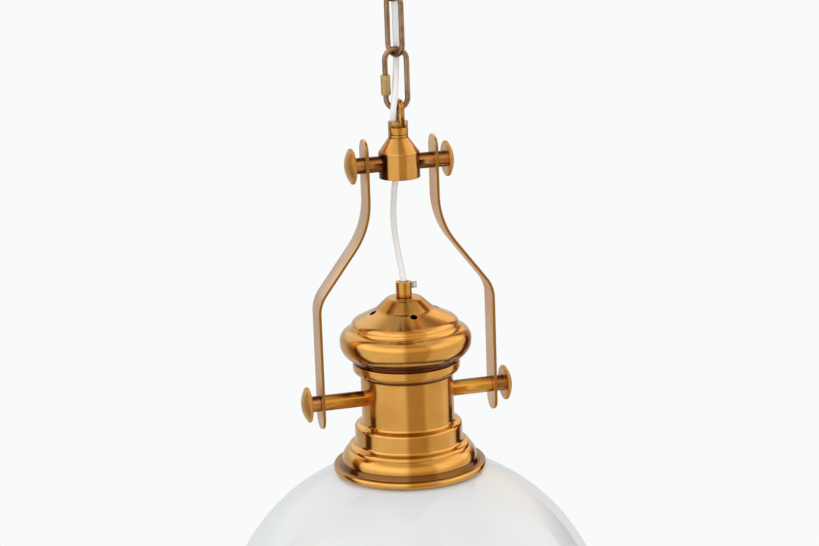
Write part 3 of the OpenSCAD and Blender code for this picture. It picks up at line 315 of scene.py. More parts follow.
def brushed_brass(name, axis, base="dca85c", deep="c68e42", rings=900.0, gloss=(0.12, 0.2), centre=(0, 0, 0),
                  grooves=(), flank_shade=None):
    """Lacquered brass brushed while it turned: fine rings about the axis draw highlights out
    sideways, and a slow drift of tone is the antique tint under the lacquer. Dark bands, given
    as height and half width in mm and strength, are dark joint lines where parts meet and
    otherwise painted shade in creases and under overhangs. A painted shade for dark reflections
    is deepest on two opposite flanks, given as their axis, the shares of the radius between
    which it begins, and the height where it ends."""
    material, tree, brass = shader(name)
    place = add(tree, "ShaderNodeTexCoord")
    centred = add(tree, "ShaderNodeVectorMath", {"operation": "SUBTRACT"}, i0=place.outputs["Object"], i1=centre)
    parts = add(tree, "ShaderNodeSeparateXYZ", Vector=centred.outputs["Vector"])
    flat = add(tree, "ShaderNodeVectorMath", {"operation": "MULTIPLY"}, i0=centred.outputs["Vector"],
               i1=(1, 1, 0) if axis == "Z" else (0, 1, 1))
    radius = add(tree, "ShaderNodeVectorMath", {"operation": "LENGTH"}, i0=flat.outputs["Vector"])
    reed = add(tree, "ShaderNodeCombineXYZ", X=radius.outputs["Value"], Y=parts.outputs[axis])
    ring_noise = add(tree, "ShaderNodeTexNoise", Vector=reed.outputs["Vector"], Scale=rings, Detail=3.0, Roughness=0.7)
    drift = add(tree, "ShaderNodeTexNoise", Vector=centred.outputs["Vector"], Scale=34.0, Detail=4.0)
    blend = add(tree, "ShaderNodeMath", {"operation": "MULTIPLY_ADD"}, i0=ring_noise.outputs["Fac"], i1=0.35,
                i2=drift.outputs["Fac"])
    tone = add(tree, "ShaderNodeMapRange", Value=blend.outputs["Value"], From_Min=0.45, From_Max=0.95)
    colour = add(tree, "ShaderNodeMix", {"data_type": "RGBA"}, i0=tone.outputs["Result"], i6=linear(deep),
                 i7=linear(base))
    # Dark bands in dark brown: joint lines where parts meet, elsewhere painted shade.
    for height, half, strength in grooves:
        off = add(tree, "ShaderNodeMath", {"operation": "SUBTRACT"}, i0=parts.outputs[axis], i1=height / 1000)
        far = add(tree, "ShaderNodeMath", {"operation": "ABSOLUTE"}, i0=off.outputs["Value"])
        inside = add(tree, "ShaderNodeMapRange", {"interpolation_type": "SMOOTHSTEP"}, Value=far.outputs["Value"],
                     From_Min=half / 2000, From_Max=half / 1000, To_Min=strength, To_Max=0.0)
        colour = add(tree, "ShaderNodeMix", {"data_type": "RGBA"}, i0=inside.outputs["Result"], i6=colour.outputs[2],
                     i7=linear("4a1e10"))
    # Painted shade on two flanks, in dark red-brown, for the dark reflections seen there.
    if flank_shade:
        flank, begins, full, top = flank_shade
        aside = add(tree, "ShaderNodeMath", {"operation": "ABSOLUTE"}, i0=parts.outputs[flank])
        share = add(tree, "ShaderNodeMath", {"operation": "DIVIDE"}, i0=aside.outputs["Value"], i1=radius.outputs["Value"])
        turned_to = add(tree, "ShaderNodeMapRange", {"interpolation_type": "SMOOTHSTEP"}, Value=share.outputs["Value"],
                        From_Min=begins, From_Max=full)
        under = add(tree, "ShaderNodeMapRange", {"interpolation_type": "SMOOTHSTEP"}, Value=parts.outputs["Z"],
                    From_Min=(top - 2) / 1000, From_Max=(top + 3) / 1000, To_Min=0.95, To_Max=0.0)
        depth = add(tree, "ShaderNodeMath", {"operation": "MULTIPLY"}, i0=turned_to.outputs["Result"],
                    i1=under.outputs["Result"])
        colour = add(tree, "ShaderNodeMix", {"data_type": "RGBA"}, i0=depth.outputs["Value"], i6=colour.outputs[2],
                     i7=linear("3c120a"))
    tree.links.new(colour.outputs[2], brass.inputs["Base Color"])
    rough = add(tree, "ShaderNodeMapRange", Value=ring_noise.outputs["Fac"], From_Min=0.3, From_Max=0.7,
                To_Min=gloss[0], To_Max=gloss[1])
    tree.links.new(rough.outputs["Result"], brass.inputs["Roughness"])
    bump = add(tree, "ShaderNodeBump", Height=ring_noise.outputs["Fac"], Strength=0.03, Distance=0.0002)
    tree.links.new(bump.outputs["Normal"], brass.inputs["Normal"])
    rings_run = add(tree, "ShaderNodeVectorMath", {"operation": "CROSS_PRODUCT"}, i0=centred.outputs["Vector"],
                    i1=(0, 0, 1) if axis == "Z" else (1, 0, 0))
    tangent = add(tree, "ShaderNodeVectorTransform", {"vector_type": "VECTOR", "convert_from": "OBJECT", "convert_to": "WORLD"},
                  Vector=rings_run.outputs["Vector"])
    tree.links.new(tangent.outputs["Vector"], brass.inputs["Tangent"])
    brass.inputs["Metallic"].default_value = 1.0
    brass.inputs["Anisotropic"].default_value = 0.6
    brass.inputs["Anisotropic Rotation"].default_value = 0.25
    brass.inputs["Coat Weight"].default_value = 0.12
    brass.inputs["Coat Roughness"].default_value = 0.08
    return material


# Antique brass: orange gold with a soft sheen round the turning, darker and redder in places.
spun_brass = brushed_brass("antique brass, spun and brushed", "Z")

canopy_side = arc(CANOPY_D / 2 - CANOPY_RIM - CANOPY_CORNER_R, CANOPY_CORNER_R - CANOPY_H, CANOPY_CORNER_R, 0, -90, 20)
canopy_inside = arc(CANOPY_D / 2 - CANOPY_RIM - CANOPY_CORNER_R, CANOPY_CORNER_R - CANOPY_H,
                    CANOPY_CORNER_R - CANOPY_WALL, -90, 0, 20)
canopy_profile = np.vstack([
    [[CANOPY_D / 2 - CANOPY_RIM - CANOPY_WALL, 0], [CANOPY_D / 2, 0], [CANOPY_D / 2, -CANOPY_RIM_H],
     [CANOPY_D / 2 - CANOPY_RIM, -CANOPY_RIM_H]], canopy_side,
    [[6.4, -CANOPY_H], [6.4, CANOPY_WALL - CANOPY_H]], canopy_inside])
canopy = turned("canopy_spinning", eased(canopy_profile, 0.5), spun_brass)
stands_for(canopy, "ceiling", "lacquered_brass", "canopy_cup")

# Zinc-plated steel: cool grey and satin, with a slightly cloudy bloom.
zinc_steel, tree, zinc = shader("zinc-plated steel")
zinc.inputs["Metallic"].default_value = 1.0
place = add(tree, "ShaderNodeTexCoord")
bloom = add(tree, "ShaderNodeTexNoise", Vector=place.outputs["Object"], Scale=180.0, Detail=5.0)
tone = add(tree, "ShaderNodeValToRGB", Fac=bloom.outputs["Fac"])
tone.color_ramp.elements[0].position, tone.color_ramp.elements[1].position = 0.35, 0.7
tone.color_ramp.elements[0].color = linear("a9acae")
tone.color_ramp.elements[1].color = linear("c9cbc9")
tree.links.new(tone.outputs["Color"], zinc.inputs["Base Color"])
rough = add(tree, "ShaderNodeMapRange", Value=bloom.outputs["Fac"], To_Min=0.26, To_Max=0.46)
tree.links.new(rough.outputs["Result"], zinc.inputs["Roughness"])

# Glazed porcelain: warm white with a clear gloss and the faintest speckle.
glazed_porcelain, tree, china = shader("glazed porcelain")
place = add(tree, "ShaderNodeTexCoord")
speck = add(tree, "ShaderNodeTexNoise", Vector=place.outputs["Object"], Scale=900.0, Detail=2.0)
tone = add(tree, "ShaderNodeValToRGB", Fac=speck.outputs["Fac"])
tone.color_ramp.elements[0].color = linear("e4e0d6")
tone.color_ramp.elements[1].color = linear("f3f1ea")
tree.links.new(tone.outputs["Color"], china.inputs["Base Color"])
china.inputs["Roughness"].default_value = 0.18
china.inputs["Coat Weight"].default_value = 0.5

dress(zinc_steel, "ceiling_bracket", "canopy_lock_nut", "canopy_clamp_nut", "block_screw")
dress(glazed_porcelain, "terminal_block")
dress(spun_brass, "terminal_clamps")


# Chain links
# Each link is 4 mm brass-plated wire bent to a long oval, its ends butted together on one leg
# where a fine seam shows. The lower one hangs square to the upper one.
WIRE_D = 4
LINK_LEN = 49
LINK_W = 20
UPPER_LINK_TOP = -47.488
LOWER_LINK_TOP = -88.188
UPPER_LINK_TURN = 24


def oval(top, length, width):
    """The closed middle line of an oval link in the XZ plane: two half circles and two legs."""
    r = width / 2
    low = top - length
    right = np.stack([np.full(30, r), np.linspace(low + r, top - r, 32)[1:-1]], axis=1)
    left = np.stack([np.full(30, -r), np.linspace(top - r, low + r, 32)[1:-1]], axis=1)
    ring = np.vstack([right, arc(0, top - r, r, 0, 180, 40), left, arc(0, low + r, r, 180, 360, 40)])
    return np.stack([ring[:, 0], 0 * ring[:, 0], ring[:, 1]], axis=1)


def turned_about_z(points, degrees):
    """Points turned about the Z axis."""
    c, s = math.cos(math.radians(degrees)), math.sin(math.radians(degrees))
    return points @ np.array([[c, s, 0], [-s, c, 0], [0, 0, 1.0]])


def ring_tube(line, radius, columns=28):
    """A tube round a closed flat line in the XZ plane: the line + r * (cos a * outwards + sin a * Y)."""
    along = np.roll(line, -1, axis=0) - np.roll(line, 1, axis=0)
    along /= np.linalg.norm(along, axis=1, keepdims=True)
    out = np.cross(along, [0.0, 1.0, 0.0])
    angle = np.linspace(0, 2 * np.pi, columns, endpoint=False)[None, :, None]
    reach = np.asarray(radius, float).reshape(-1, 1, 1)
    grid = line[:, None] + reach * (np.cos(angle) * out[:, None] + np.sin(angle) * np.array([0, 1.0, 0]))
    return np.concatenate([grid, grid[:1]])


# Brass-plated wire: a brown bronze with a satin shine, dulled and mottled by handling.
plated_wire, tree, wire = shader("brass-plated wire, aged")
wire.inputs["Metallic"].default_value = 1.0
place = add(tree, "ShaderNodeTexCoord")
mottle = add(tree, "ShaderNodeTexNoise", Vector=place.outputs["Object"], Scale=150.0, Detail=6.0, Roughness=0.6)
tone = add(tree, "ShaderNodeValToRGB", Fac=mottle.outputs["Fac"])
tone.color_ramp.elements[0].position, tone.color_ramp.elements[1].position = 0.32, 0.68
tone.color_ramp.elements[0].color = linear("846a53")
tone.color_ramp.elements[1].color = linear("b2957a")
tree.links.new(tone.outputs["Color"], wire.inputs["Base Color"])
rough = add(tree, "ShaderNodeMapRange", Value=mottle.outputs["Fac"], To_Min=0.2, To_Max=0.42)
tree.links.new(rough.outputs["Result"], wire.inputs["Roughness"])
pits = add(tree, "ShaderNodeBump", Height=mottle.outputs["Fac"], Strength=0.15, Distance=0.0002)
tree.links.new(pits.outputs["Normal"], wire.inputs["Normal"])

for name, top, turn, body, node in (("link_of_chain_upper", UPPER_LINK_TOP, UPPER_LINK_TURN, "link_upper", "chain_link_upper"),
                                    ("link_of_chain_lower", LOWER_LINK_TOP, UPPER_LINK_TURN - 90, "link_lower", "chain_link_lower")):
    line = oval(top, LINK_LEN - WIRE_D, LINK_W - WIRE_D)
    seam = np.exp(-((line[:, 2] - (top - LINK_LEN / 2 + 3)) / 0.5) ** 2) * (line[:, 0] > 7.9)
    grid = ring_tube(line, WIRE_D / 2 - 0.22 * seam)
    shape = grid.shape
    grid = turned_about_z(grid.reshape(-1, 3), turn).reshape(shape)
    link = surface(name, grid, plated_wire)
    stands_for(link, body, "chain_brass", node)


# Quick link
# A link of the same wire with a gate in its left leg, which a hexagon sleeve nut closes. The
# hub's eye was hooked in through the gate, and the nut runs up its leg to open it.
QUICK_LINK_TOP = -128.888
QUICK_LINK_LEN = 48
QUICK_LINK_TURN = -6
GATE_LOW = -160.488
GATE_GAP = 6
NUT_LOW = -162.488
NUT_LEN = 15
NUT_ACROSS = 6.8

link_r = (LINK_W - WIRE_D) / 2
quick_low = QUICK_LINK_TOP - (QUICK_LINK_LEN - WIRE_D)
above_gate = np.stack([np.full(12, -link_r), np.linspace(GATE_LOW + GATE_GAP, QUICK_LINK_TOP - link_r, 13)[:-1]], axis=1)
right_leg = np.stack([np.full(20, link_r), np.linspace(QUICK_LINK_TOP - link_r, quick_low + link_r, 22)[1:-1]], axis=1)
below_gate = np.stack([np.full(6, -link_r), np.linspace(quick_low + link_r, GATE_LOW, 7)[1:]], axis=1)
flat_line = np.vstack([above_gate, arc(0, QUICK_LINK_TOP - link_r, link_r, 180, 0, 40), right_leg,
                       arc(0, quick_low + link_r, link_r, 0, -180, 40), below_gate])
quick_line = np.stack([flat_line[:, 0], 0 * flat_line[:, 0], flat_line[:, 1]], axis=1)
along = np.gradient(quick_line, axis=0)
along /= np.linalg.norm(along, axis=1, keepdims=True)
out = np.cross(along, [0.0, 1.0, 0.0])
angle = np.linspace(0, 2 * np.pi, 28, endpoint=False)[None, :, None]
quick_grid = quick_line[:, None] + WIRE_D / 2 * (np.cos(angle) * out[:, None] + np.sin(angle) * np.array([0, 1.0, 0]))
quick_grid = turned_about_z(quick_grid.reshape(-1, 3), QUICK_LINK_TURN).reshape(quick_grid.shape)
quick = surface("quick_link_wire", quick_grid, plated_wire, capped=True)
stands_for(quick, "quick_link", "chain_brass", "quick_link")

# Yellow zinc: the nut is an olive yellow over bright steel, glossy on its flats.
yellow_zinc, tree, nut_metal = shader("yellow zinc plating")
nut_metal.inputs["Metallic"].default_value = 1.0
place = add(tree, "ShaderNodeTexCoord")
cloud = add(tree, "ShaderNodeTexNoise", Vector=place.outputs["Object"], Scale=220.0, Detail=4.0)
tone = add(tree, "ShaderNodeValToRGB", Fac=cloud.outputs["Fac"])
tone.color_ramp.elements[0].color = linear("9c8058")
tone.color_ramp.elements[1].color = linear("ccb578")
tree.links.new(tone.outputs["Color"], nut_metal.inputs["Base Color"])
rough = add(tree, "ShaderNodeMapRange", Value=cloud.outputs["Fac"], To_Min=0.16, To_Max=0.34)
tree.links.new(rough.outputs["Result"], nut_metal.inputs["Roughness"])


def sleeve_nut():
    """A hexagon whose corners are cut by a cone at both ends: the radius at angle a is the
    smaller of half / cos(a to the nearest flat's middle) and the chamfer's circle."""
    half = NUT_ACROSS / 2
    z = np.array([0, 0, 0.25, 0.8, 1.4, NUT_LEN - 1.4, NUT_LEN - 0.8, NUT_LEN - 0.25, NUT_LEN, NUT_LEN])
    limit = np.array([0, half - 0.2, half + 0.05, half + 0.28, half + 0.4, half + 0.4, half + 0.28, half + 0.05, half - 0.2, 0])
    bore = WIRE_D / 2 + 0.05
    limit = np.where(limit == 0, bore, limit)
    a = np.linspace(0, 2 * np.pi, 144, endpoint=False)
    flat = half / np.cos((a + np.pi / 6) % (np.pi / 3) - np.pi / 6)
    radius = np.minimum(flat[None], limit[:, None])
    grid = np.stack([radius * np.cos(a), radius * np.sin(a), z[:, None] + 0 * radius], axis=-1)
    grid = np.concatenate([grid, grid[:1]])
    return grid + np.array([-link_r, 0, NUT_LOW])


nut_grid = sleeve_nut()
nut_grid = turned_about_z(nut_grid.reshape(-1, 3), QUICK_LINK_TURN).reshape(nut_grid.shape)
nut = surface("sleeve_nut_hexagon", nut_grid, yellow_zinc, sharp=12)
stands_for(nut, "sleeve_nut", "chain_brass", "quick_link_nut")


# Eyes, collar and hub
# Cast eyes with round bases, polished and lacquered. Below the lower one a short collar and
# the turned hub, a cone over a cylinder, which takes the two upper pins.
HUB_D = 30.6
HUB_BORE = 15
STEM_D = 12.4
NECK_D = 14.8
HUB_TOP = -191.877
CONE_FOOT = -205.077
CONE_TOP = -194.077
COLLAR_TOP = -186.377


def smooth_copy(name, node, material, sharp=32):
    """A CAD node's own mesh with its points merged, so that its curves shade smoothly."""
    mesh = nodes[node].data.copy()
    mesh.name = name
    form = bmesh.new()
    form.from_mesh(mesh)
    bmesh.ops.remove_doubles(form, verts=form.verts, dist=2e-6)
    form.to_mesh(mesh)
    form.free()
    mesh.shade_smooth()
    mesh.set_sharp_from_angle(angle=math.radians(sharp))
    mesh.materials.clear()
    mesh.materials.append(material)
    piece = bpy.data.objects.new(name, mesh)
    scene.collection.objects.link(piece)
    return piece


# Dark joint lines where the collar meets the hub and the eye; painted shade in the crease at the cone's top, a faint
# painted shade over the cone, and a painted dark reflection on the hub's left and right flanks.
hub_brass = brushed_brass("antique brass, turned", "Z", rings=1100.0,
                          grooves=[(HUB_TOP, 0.35, 0.9), (CONE_TOP, 0.3, 0.9), (COLLAR_TOP, 0.3, 0.9), (CONE_TOP - 5, 8, 0.22)],
                          flank_shade=("X", 0.71, 0.79, CONE_FOOT))
cast_brass, tree, casting = shader("cast brass, polished and lacquered")
casting.inputs["Metallic"].default_value = 1.0
casting.inputs["Coat Weight"].default_value = 0.6
casting.inputs["Coat Roughness"].default_value = 0.1
place = add(tree, "ShaderNodeTexCoord")
skin = add(tree, "ShaderNodeTexNoise", Vector=place.outputs["Object"], Scale=60.0, Detail=4.0)
tone = add(tree, "ShaderNodeValToRGB", Fac=skin.outputs["Fac"])
tone.color_ramp.elements[0].position, tone.color_ramp.elements[1].position = 0.35, 0.7
tone.color_ramp.elements[0].color = linear("b07a38")
tone.color_ramp.elements[1].color = linear("dca95f")
tree.links.new(tone.outputs["Color"], casting.inputs["Base Color"])
rough = add(tree, "ShaderNodeMapRange", Value=skin.outputs["Fac"], To_Min=0.2, To_Max=0.3)
tree.links.new(rough.outputs["Result"], casting.inputs["Roughness"])
dents = add(tree, "ShaderNodeBump", Height=skin.outputs["Fac"], Strength=0.05, Distance=0.0004)
tree.links.new(dents.outputs["Normal"], casting.inputs["Normal"])

stands_for(smooth_copy("cast_eye_canopy", "canopy_eye", cast_brass), "ceiling", "lacquered_brass", "canopy_eye")
stands_for(smooth_copy("cast_eye_hub", "hub_eye", cast_brass), "hub", "lacquered_brass", "hub_eye")

collar = turned("collar_ring", eased([[STEM_D / 2 + 0.05, HUB_TOP], [NECK_D / 2, HUB_TOP], [NECK_D / 2, COLLAR_TOP - 0.05],
                                      [STEM_D / 2 + 0.05, COLLAR_TOP - 0.05]], 0.5), hub_brass)
stands_for(collar, "hub", "lacquered_brass", "hub_collar")
hub_profile = [[HUB_BORE / 2, HUB_FOOT], [HUB_D / 2, HUB_FOOT], [HUB_D / 2, CONE_FOOT], [NECK_D / 2, CONE_TOP],
               [NECK_D / 2, HUB_TOP - 0.05], [STEM_D / 2 + 0.05, HUB_TOP - 0.05], [STEM_D / 2 + 0.05, HUB_TOP - 8.2],
               [5.2, HUB_TOP - 8.2], [5.2, HUB_FOOT + 17], [HUB_BORE / 2, HUB_FOOT + 17]]
hub = turned("turned_hub", eased(hub_profile, 0.5), hub_brass)
stands_for(hub, "hub", "lacquered_brass", "hub_body")


# Spacers and knobs
# The straps hang on four pins. Inside each strap a plain tube keeps it off the hub or the
# body, and outside a domed knob with a straight-knurled edge screws the pin home.
UPPER_PIN = -213.077
LOWER_PIN = -390.277
KNOB_D = 26.4
KNOB_RIM = 2
KNOB_DOME = 3.9
SHANK_LEN = 7.6
SHANK_D = 12
STUD_D = 6
TEETH = 76
TOOTH_DEPTH = 0.34

knob_brass = {}
for place_name, pin in (("upper", UPPER_PIN), ("lower", LOWER_PIN)):
    knob_brass[place_name] = brushed_brass(f"antique brass, {place_name} knobs", "X", rings=3000.0, gloss=(0.3, 0.36),
                                           centre=(0, 0, pin / 1000))
# Shanks and the upper spacers are a deeper, redder brown, and the lower spacers a clear yellow gold.
# All are painted darker along their tops and bottoms: painted shade for the dark reflections there.
shank_brass = {}
for place_name, pin in (("upper", UPPER_PIN), ("lower", LOWER_PIN)):
    shank_brass[place_name] = brushed_brass(f"antique brass, {place_name} shanks", "X", base="cf9c66", deep="a06a3c",
                                            rings=1500.0, gloss=(0.2, 0.26), centre=(0, 0, pin / 1000),
                                            flank_shade=("Z", 0.55, 0.85, 99))
spacer_brass = {"upper": shank_brass["upper"],
                "lower": brushed_brass("antique brass, lower spacers", "X", base="e6b057", deep="c79244", rings=1500.0,
                                       gloss=(0.2, 0.26), centre=(0, 0, LOWER_PIN / 1000), flank_shade=("Z", 0.8, 1.0, 99))}


def knob(name, side, shank_x, tip_x, pin, material, shank_material):
    """The knob's profile swung round X, where the radius on the rim is less by
    depth * |sin(teeth * angle / 2)| in its shallow V grooves."""
    chord = KNOB_D / 2 - 0.6
    dome_r = (chord ** 2 + KNOB_DOME ** 2) / (2 * KNOB_DOME)
    top = SHANK_LEN + KNOB_RIM
    lean = math.degrees(math.acos(chord / dome_r))
    dome = arc(0, top + KNOB_DOME - dome_r, dome_r, lean, 90, 18)
    stem = eased([[STUD_D / 2, tip_x - shank_x], [STUD_D / 2, 0.0], [SHANK_D / 2, 0.0], [SHANK_D / 2, SHANK_LEN],
                  [9.0, SHANK_LEN]], 0.35)[3:-3]
    rim = np.array([[KNOB_D / 2 - 0.7, SHANK_LEN], [KNOB_D / 2 - 0.25, SHANK_LEN + 0.12], [KNOB_D / 2, SHANK_LEN + 0.4],
                    [KNOB_D / 2, top - 0.45], [KNOB_D / 2 - 0.2, top - 0.12]])
    profile = np.vstack([[[0.0, tip_x - shank_x]], [[STUD_D / 2 - 0.4, tip_x - shank_x]], stem, rim, dome])
    angle = np.linspace(0, 2 * np.pi, TEETH * 6, endpoint=False)[None, :]
    knurl = 1 - np.abs(np.sin(TEETH * angle / 2))
    on_rim = (profile[:, 0] > KNOB_D / 2 - 0.3)[:, None] * 1.0
    radius = profile[:, :1] - TOOTH_DEPTH * knurl ** 1.5 * on_rim
    x = side * (shank_x + profile[:, 1:] + 0 * angle)
    grid = np.stack([x, radius * np.cos(angle), pin + radius * np.sin(angle)], axis=-1)
    piece = surface(name, grid, material, sharp=50)
    piece.data.materials.append(shank_material)
    middles = np.empty(3 * len(piece.data.polygons))
    piece.data.polygons.foreach_get("center", middles)
    on_shank = np.abs(middles[::3]) < (shank_x + SHANK_LEN - 0.05) / 1000
    piece.data.polygons.foreach_set("material_index", on_shank.astype(np.int32))
    return piece


for place_name, pin, shank_x, tip_x in (("upper", UPPER_PIN, 27.8, 7.9), ("lower", LOWER_PIN, 68.5, 25.07)):
    for side_name, side in (("left", -1), ("right", 1)):
        piece = knob(f"domed_knob_{place_name}_{side_name}", side, shank_x, tip_x, pin, knob_brass[place_name],
                     shank_brass[place_name])
        stands_for(piece, f"{place_name}_knob_{side_name}", "lacquered_brass", f"{place_name}_knob_{side_name}")
        spacer = f"{place_name}_spacer_{side_name}"
        tube_piece = smooth_copy(f"tube_{spacer}", spacer, spacer_brass[place_name])
        stands_for(tube_piece, "hub" if place_name == "upper" else "lamp", "lacquered_brass", spacer)


# Straps
# Two flat brass straps, rounded at both ends, bent outwards below the hub and straight again
# above the gallery. They are brushed along their length and their edges are broken by hand.
STRAP_W = 19.5
STRAP_T = 2.2
STRAP_TOP_X = 26.5
STRAP_LOW_X = 67.2
STRAP_END = 19.5
STRAP_STRAIGHT = 25.4
UPPER_BEND_R = 60
LOWER_BEND_R = 25
STRAP_SLANT = 37.2


def strap_line():
    """The strap's middle line from its upper end down: straight, bend, slant, bend, straight."""
    bend_z = UPPER_PIN - STRAP_STRAIGHT
    slant = math.radians(STRAP_SLANT)
    run = STRAP_LOW_X - STRAP_TOP_X - (UPPER_BEND_R + LOWER_BEND_R) * (1 - math.cos(slant))
    low_z = bend_z - (UPPER_BEND_R + LOWER_BEND_R) * math.sin(slant) - run / math.tan(slant)
    corners = np.vstack([[[STRAP_TOP_X, UPPER_PIN + STRAP_END]],
                         arc(STRAP_TOP_X + UPPER_BEND_R, bend_z, UPPER_BEND_R, 180, 180 + STRAP_SLANT, 40),
                         arc(STRAP_LOW_X - LOWER_BEND_R, low_z, LOWER_BEND_R, STRAP_SLANT, 0, 30),
                         [[STRAP_LOW_X, LOWER_PIN - STRAP_END]]])
    run = np.r_[0, np.cumsum(np.linalg.norm(np.diff(corners, axis=0), axis=1))]
    total = run[-1]
    half = STRAP_W / 2
    ends = half * (1 - np.cos(np.linspace(0, np.pi / 2, 24)))
    stops = np.unique(np.r_[ends, np.linspace(half, total - half, 190), total - ends])
    return np.stack([np.interp(stops, run, corners[:, 0]), np.interp(stops, run, corners[:, 1])], axis=1), stops, total


def strap(name, side, material):
    """A rounded bar section carried along the line. Its half width is sqrt(h^2 - d^2) within h
    of an end, and its broken edges are quarter curves of 0.45 mm."""
    line, stops, total = strap_line()
    along = np.gradient(line, axis=0)
    along /= np.linalg.norm(along, axis=1, keepdims=True)
    out = np.stack([-along[:, 1], along[:, 0]], axis=1)
    half = STRAP_W / 2
    near = np.minimum(np.minimum(stops, total - stops), half)
    width = np.sqrt(np.maximum(half ** 2 - (half - near) ** 2, 0))
    r = 0.45
    corner = arc(0, 0, 1, 0, 90, 5)
    section = np.vstack([corner, corner[::-1] * [-1, 1], -corner, corner[::-1] * [1, -1]])
    sign = np.vstack([np.tile([1, 1], (6, 1)), np.tile([-1, 1], (6, 1)), np.tile([-1, -1], (6, 1)), np.tile([1, -1], (6, 1))])
    cut = np.minimum(r, width)[:, None]
    across = sign[None, :, 0] * (width[:, None] - cut) + cut * section[None, :, 0]
    through = sign[None, :, 1] * (STRAP_T / 2 - r) + r * section[None, :, 1]
    x = line[:, :1] + through * out[:, :1]
    z = line[:, 1:] + through * out[:, 1:]
    piece = surface(name, np.stack([side * x, across, z], axis=-1), material, sharp=40)
    return piece


# Brushed strap: the grain runs down the strap, so its flats stay matt and pinkish, and the
# broken edges catch thin golden lines.
strap_brass, tree, flat_metal = shader("antique brass, strap")
flat_metal.inputs["Metallic"].default_value = 1.0
flat_metal.inputs["Anisotropic"].default_value = 0.4
flat_metal.inputs["Specular Tint"].default_value = linear("e8c0a0")
flat_metal.inputs["Coat Weight"].default_value = 0.2
flat_metal.inputs["Coat Roughness"].default_value = 0.18
place = add(tree, "ShaderNodeTexCoord")
grain_scale = add(tree, "ShaderNodeVectorMath", {"operation": "MULTIPLY"}, i0=place.outputs["Object"], i1=(12, 700, 12))
grain = add(tree, "ShaderNodeTexNoise", Vector=grain_scale.outputs["Vector"], Scale=1.0, Detail=3.0)
drift = add(tree, "ShaderNodeTexNoise", Vector=place.outputs["Object"], Scale=26.0, Detail=4.0)
both = add(tree, "ShaderNodeMath", {"operation": "MULTIPLY_ADD"}, i0=grain.outputs["Fac"], i1=0.4, i2=drift.outputs["Fac"])
tone = add(tree, "ShaderNodeMapRange", Value=both.outputs["Value"], From_Min=0.45, From_Max=0.95)
colour = add(tree, "ShaderNodeMix", {"data_type": "RGBA"}, i0=tone.outputs["Result"], i6=linear("e4bda0"), i7=linear("fceed6"))
facing = add(tree, "ShaderNodeSeparateXYZ", Vector=place.outputs["Normal"])
edge_on = add(tree, "ShaderNodeMath", {"operation": "ABSOLUTE"}, i0=facing.outputs["Y"])
on_edge = add(tree, "ShaderNodeMapRange", Value=edge_on.outputs["Value"], From_Min=0.45, From_Max=0.75)
# On the left strap the flats turn pale grey-white towards the back: a painted reflection.
spot = add(tree, "ShaderNodeSeparateXYZ", Vector=place.outputs["Object"])
on_left = add(tree, "ShaderNodeMath", {"operation": "LESS_THAN"}, i0=spot.outputs["X"], i1=0.0)
rearward = add(tree, "ShaderNodeMapRange", {"interpolation_type": "SMOOTHSTEP"}, Value=spot.outputs["Y"], From_Min=-0.002,
               From_Max=0.007, To_Max=0.85)
bloom = add(tree, "ShaderNodeMath", {"operation": "MULTIPLY"}, i0=rearward.outputs["Result"], i1=on_left.outputs["Value"])
painted_pale_reflection = add(tree, "ShaderNodeMix", {"data_type": "RGBA"}, i0=bloom.outputs["Value"], i6=colour.outputs[2], i7=linear("dcdad6"))
finish = add(tree, "ShaderNodeMix", {"data_type": "RGBA"}, i0=on_edge.outputs["Result"], i6=painted_pale_reflection.outputs[2],
             i7=linear("a87c3c"))
tree.links.new(finish.outputs[2], flat_metal.inputs["Base Color"])
rough = add(tree, "ShaderNodeMapRange", Value=grain.outputs["Fac"], From_Min=0.3, From_Max=0.7, To_Min=0.26, To_Max=0.4)
tree.links.new(rough.outputs["Result"], flat_metal.inputs["Roughness"])
bump = add(tree, "ShaderNodeBump", Height=grain.outputs["Fac"], Strength=0.05, Distance=0.0002)
tree.links.new(bump.outputs["Normal"], flat_metal.inputs["Normal"])

for side_name, side in (("left", -1), ("right", 1)):
    stands_for(strap(f"bent_strap_{side_name}", side, strap_brass), "yoke", "lacquered_brass", f"strap_{side_name}")


# Gallery, neck ring and cap
# The body is spun in one piece: a rolled rim, a flare and two barrels. A turned ring carries
# the spun cap over it, with a deep roll, a shoulder with vent holes and a low crown.
RIM = -445.066
RIM_BEAD_D = 6
GALLERY_D = 116
FLARE_FOOT_D = 102.4
FLARE_R = 12
FLARE_LIFT = 5.0
FLARE_TOP_D = 92
LOWER_SHOULDER_R = 3
LOWER_BARREL_D = 81.2
LOWER_BARREL_H = 12.9
UPPER_SHOULDER_R = 2.6
LEDGE_R = 3.0  # the hollow corner over each shoulder
BARREL_D = 69.8
BARREL_H = 46.7
BODY_WALL = 1

flare_mid = FLARE_FOOT_D / 2 - FLARE_R
flare_end = math.acos((FLARE_TOP_D / 2 - flare_mid) / FLARE_R)
flare_top = FLARE_LIFT + FLARE_R * math.sin(flare_end)
lower_barrel = flare_top + LOWER_SHOULDER_R
upper_shoulder = lower_barrel + LOWER_BARREL_H
barrel_foot = upper_shoulder + UPPER_SHOULDER_R
body_top = barrel_foot + BARREL_H
bead_r = RIM_BEAD_D / 2
bead_mid = GALLERY_D / 2 - bead_r


